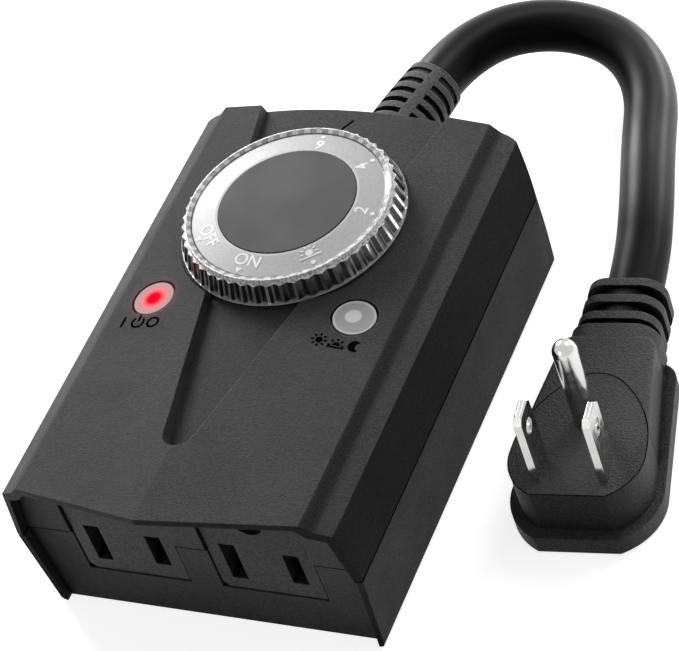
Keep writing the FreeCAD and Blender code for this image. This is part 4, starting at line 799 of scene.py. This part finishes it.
def dial_words(name, words, angle, radius, material):
    """Raised letters on the dial's face."""
    curve = bpy.data.curves.new(name, "FONT")
    curve.body = words
    curve.size = LETTER_HEIGHT / CAPITAL_SHARE
    curve.align_x = "CENTER"
    curve.align_y = "CENTER"
    curve.extrude = LETTER_HALF_THICKNESS
    curve.offset = LETTER_BOLDNESS
    curve.materials.append(material)
    words_object = link(bpy.data.objects.new(name, curve))
    words_object.matrix_world = on_dial(angle, radius)
    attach(words_object, "dial")


def dial_shape(name, outlines, angle, radius, material):
    """Raised shapes on the dial's face."""
    flat_shape(name, outlines, LEGEND_THICKNESS, on_dial(angle, radius), material, "dial")


def make_legend():
    """What is printed on the dial."""
    ink = moulded(
        "legend_ink", (0.8, 0.8, 0.8), 0.45, grain_size=0.0005, grain_depth=0.000006,
        edge=0.0001).material
    for words, angle, radius in LEGEND:
        dial_words(f"legend_{words}", words, angle, radius, ink)
    for number, (angle, radius) in enumerate(LEGEND_DOTS):
        dial_shape(f"legend_dot_{number}", [circle(0, 0, DOT_RADIUS)], angle, radius, ink)
    for number, (angle, radius) in enumerate(LEGEND_ARROWS):
        dial_shape(f"legend_arrow_{number}", [ARROW], angle, radius, ink)
    fifths = [math.pi * step / 5 for step in range(6)]
    sun = [circle(0, 0, 0.75)] + rays(0, 0, 1.15, 0.7, 0.3, fifths)
    sun.append(bar(-2.2, -0.95, 4.4, 0.3, 0))
    dial_shape("legend_dusk", sun, *DUSK_PLACE, ink)


def on_panel(x, y):
    """Frame on the sloping panel at a place beside the centre line."""
    side = 1 if x > 0 else -1
    height = RIDGE_TOP - PANEL_SLOPE * abs(x)
    lean = side * math.atan(PANEL_SLOPE)
    return Matrix.Translation((x, y, height)) @ Matrix.Rotation(lean, 4, "Y")


def panel_sign(name, shapes, place, material):
    """Shapes printed on a sloping panel."""
    flat_shape(name, shapes, SIGN_THICKNESS, on_panel(*place), material, "housing")


def crescent(x, y, radius, steps=16):
    """A moon open to the right."""
    outer = [math.radians(50 + 260 * step / steps) for step in range(steps + 1)]
    inner = [math.radians(255 - 150 * step / steps) for step in range(steps + 1)]
    tip = radius * math.sin(outer[0])
    middle = x + radius * math.cos(outer[0]) + tip * 0.25
    return round_about(x, y, radius, outer) + round_about(middle, y, tip, inner)


def make_panel_signs():
    """Small black signs in the panels: power under the lit lens; day, dusk and night under the other."""
    ink = dark_ink("sign_ink", 0.002)
    power = ring_pieces(0, 0, 1.25, 0.45, math.radians(130), math.radians(410))
    power.append(bar(0, 0.3, 1.45, 0.45, math.pi / 2))
    power.append(bar(-3.4, -1.3, 2.6, 0.5, math.pi / 2))
    power += ring_pieces(3.4, 0, 1.15, 0.45, 0, 2 * math.pi)
    eighths = [math.pi * step / 4 for step in range(8)]
    sun = [circle(-3.5, 0, 0.7)] + rays(-3.5, 0, 1.0, 0.55, 0.36, eighths)
    dusk = [half_circle(0, -0.6, 0.75)] + rays(0, -0.6, 1.05, 0.6, 0.36, eighths[:5])
    dusk.append(bar(-1.6, -1.05, 3.2, 0.36, 0))
    night = [crescent(3.5, 0, 1.3)]
    panel_sign("power_sign", power, POWER_SIGN_PLACE, ink)
    panel_sign("sensor_sign", sun + dusk + night, SENSOR_SIGN_PLACE, ink)


def bulged(start, end, share, steps=12):
    """Points of an arc that bulges outwards by a share of its chord, from its start up to its end."""
    start, end = Vector(start), Vector(end)
    chord = end - start
    depth = share * chord.length
    radius = (chord.length ** 2 / 4 + depth ** 2) / (2 * depth)
    outward = Vector((chord.y, -chord.x)).normalized()
    centre = (start + end) / 2 - outward * (radius - depth)
    half = math.asin(chord.length / 2 / radius)
    spoke = start - centre
    points = []
    for step in range(steps):
        turn = 2 * half * step / steps
        points.append(centre + Vector((
            spoke.x * math.cos(turn) - spoke.y * math.sin(turn),
            spoke.x * math.sin(turn) + spoke.y * math.cos(turn))))
    return points


def make_plug_seam():
    """Fine dark line in the plug's face round its egg-shaped core."""
    right = []
    for start, end, share in zip(CORE_CORNERS, CORE_CORNERS[1:], CORE_BULGES):
        right += bulged(start, end, share)
    left = [Vector((-point.x, point.y)) for point in reversed(right)]
    line = right + [Vector(CORE_CORNERS[-1])] + left
    pieces = []
    for point, following in zip(line, line[1:] + line[:1]):
        run = following - point
        pieces.append(bar(point.x, point.y, run.length, SEAM_WIDTH, math.atan2(run.y, run.x)))
    ink = dark_ink("seam_shade", 0.001)
    place = Matrix.Translation(PLUG_PLACE) @ Matrix.Rotation(PLUG_TURN, 4, "Z")
    flat_shape("plug_seam", pieces, SEAM_THICKNESS, place, ink, "housing")


def white_where_seen(tree, otherwise):
    """1 for what the camera, gloss and clear pieces see, and another level for the light that falls."""
    path = tree.nodes.new("ShaderNodeLightPath")
    seen = path.outputs["Is Camera Ray"]
    for output in ("Is Glossy Ray", "Is Transmission Ray"):
        either = tree.nodes.new("ShaderNodeMath")
        either.operation = "MAXIMUM"
        tree.links.new(seen, either.inputs[0])
        tree.links.new(path.outputs[output], either.inputs[1])
        seen = either.outputs[0]
    level = tree.nodes.new("ShaderNodeMapRange")
    level.inputs["To Min"].default_value = otherwise
    level.inputs["To Max"].default_value = 1.0
    tree.links.new(seen, level.inputs["Value"])
    return level.outputs["Result"]


def make_floor():
    """Pale floor, white where it is seen, with the object's shadow left on it."""
    work = bmesh.new()
    bmesh.ops.create_grid(work, x_segments=8, y_segments=8, size=FLOOR_HALF)
    made = Material("floor", (0.8, 0.8, 0.8), 0.9, specular=0.1)
    made.mottle(0.2, 0.005)
    made.shader.inputs["Emission Color"].default_value = (1, 1, 1, 1)
    lift = made.spread(white_where_seen(made.tree, 0), 0, FLOOR_LIFT, 0, 1)
    made.join(lift, made.shader.inputs["Emission Strength"])
    floor = mesh_object("floor", work, made.material)


def lamp(name, place, target, size, power):
    """A soft rectangular lamp that points at a target."""
    data = bpy.data.lights.new(name, "AREA")
    data.shape = "RECTANGLE"
    data.size, data.size_y = size
    data.energy = power
    thing = link(bpy.data.objects.new(name, data))
    aim = (Vector(target) - Vector(place)).to_track_quat("-Z", "Y")
    thing.matrix_world = Matrix.Translation(place) @ aim.to_matrix().to_4x4()


def make_light():
    """The pale surround and the lamps."""
    world = bpy.data.worlds.new("studio")
    bpy.context.scene.world = world
    world.use_nodes = True
    tree = world.node_tree
    base = tree.nodes["Background"]
    base.inputs["Color"].default_value = (1, 1, 1, 1)
    tree.links.new(white_where_seen(tree, AMBIENT_LEVEL), base.inputs["Strength"])
    lamp("key", KEY_PLACE, BOX_MIDDLE, size=(0.3, 0.3), power=5.4)
    lamp("fill", FILL_PLACE, FILL_TARGET, size=(0.4, 0.4), power=1.0)
    lamp("strip", STRIP_PLACE, BOX_MIDDLE, size=(0.3, 0.3), power=1.6)
    lamp("rim", RIM_PLACE, RIM_TARGET, size=(0.35, 0.15), power=1.7)


make_camera()
MATERIALS = make_materials()
dress_nodes(MATERIALS)
make_plug_seam()
make_cord(MATERIALS)
make_legend()
make_panel_signs()
make_floor()
make_light()
bpy.context.scene.view_settings.view_transform = "Standard"
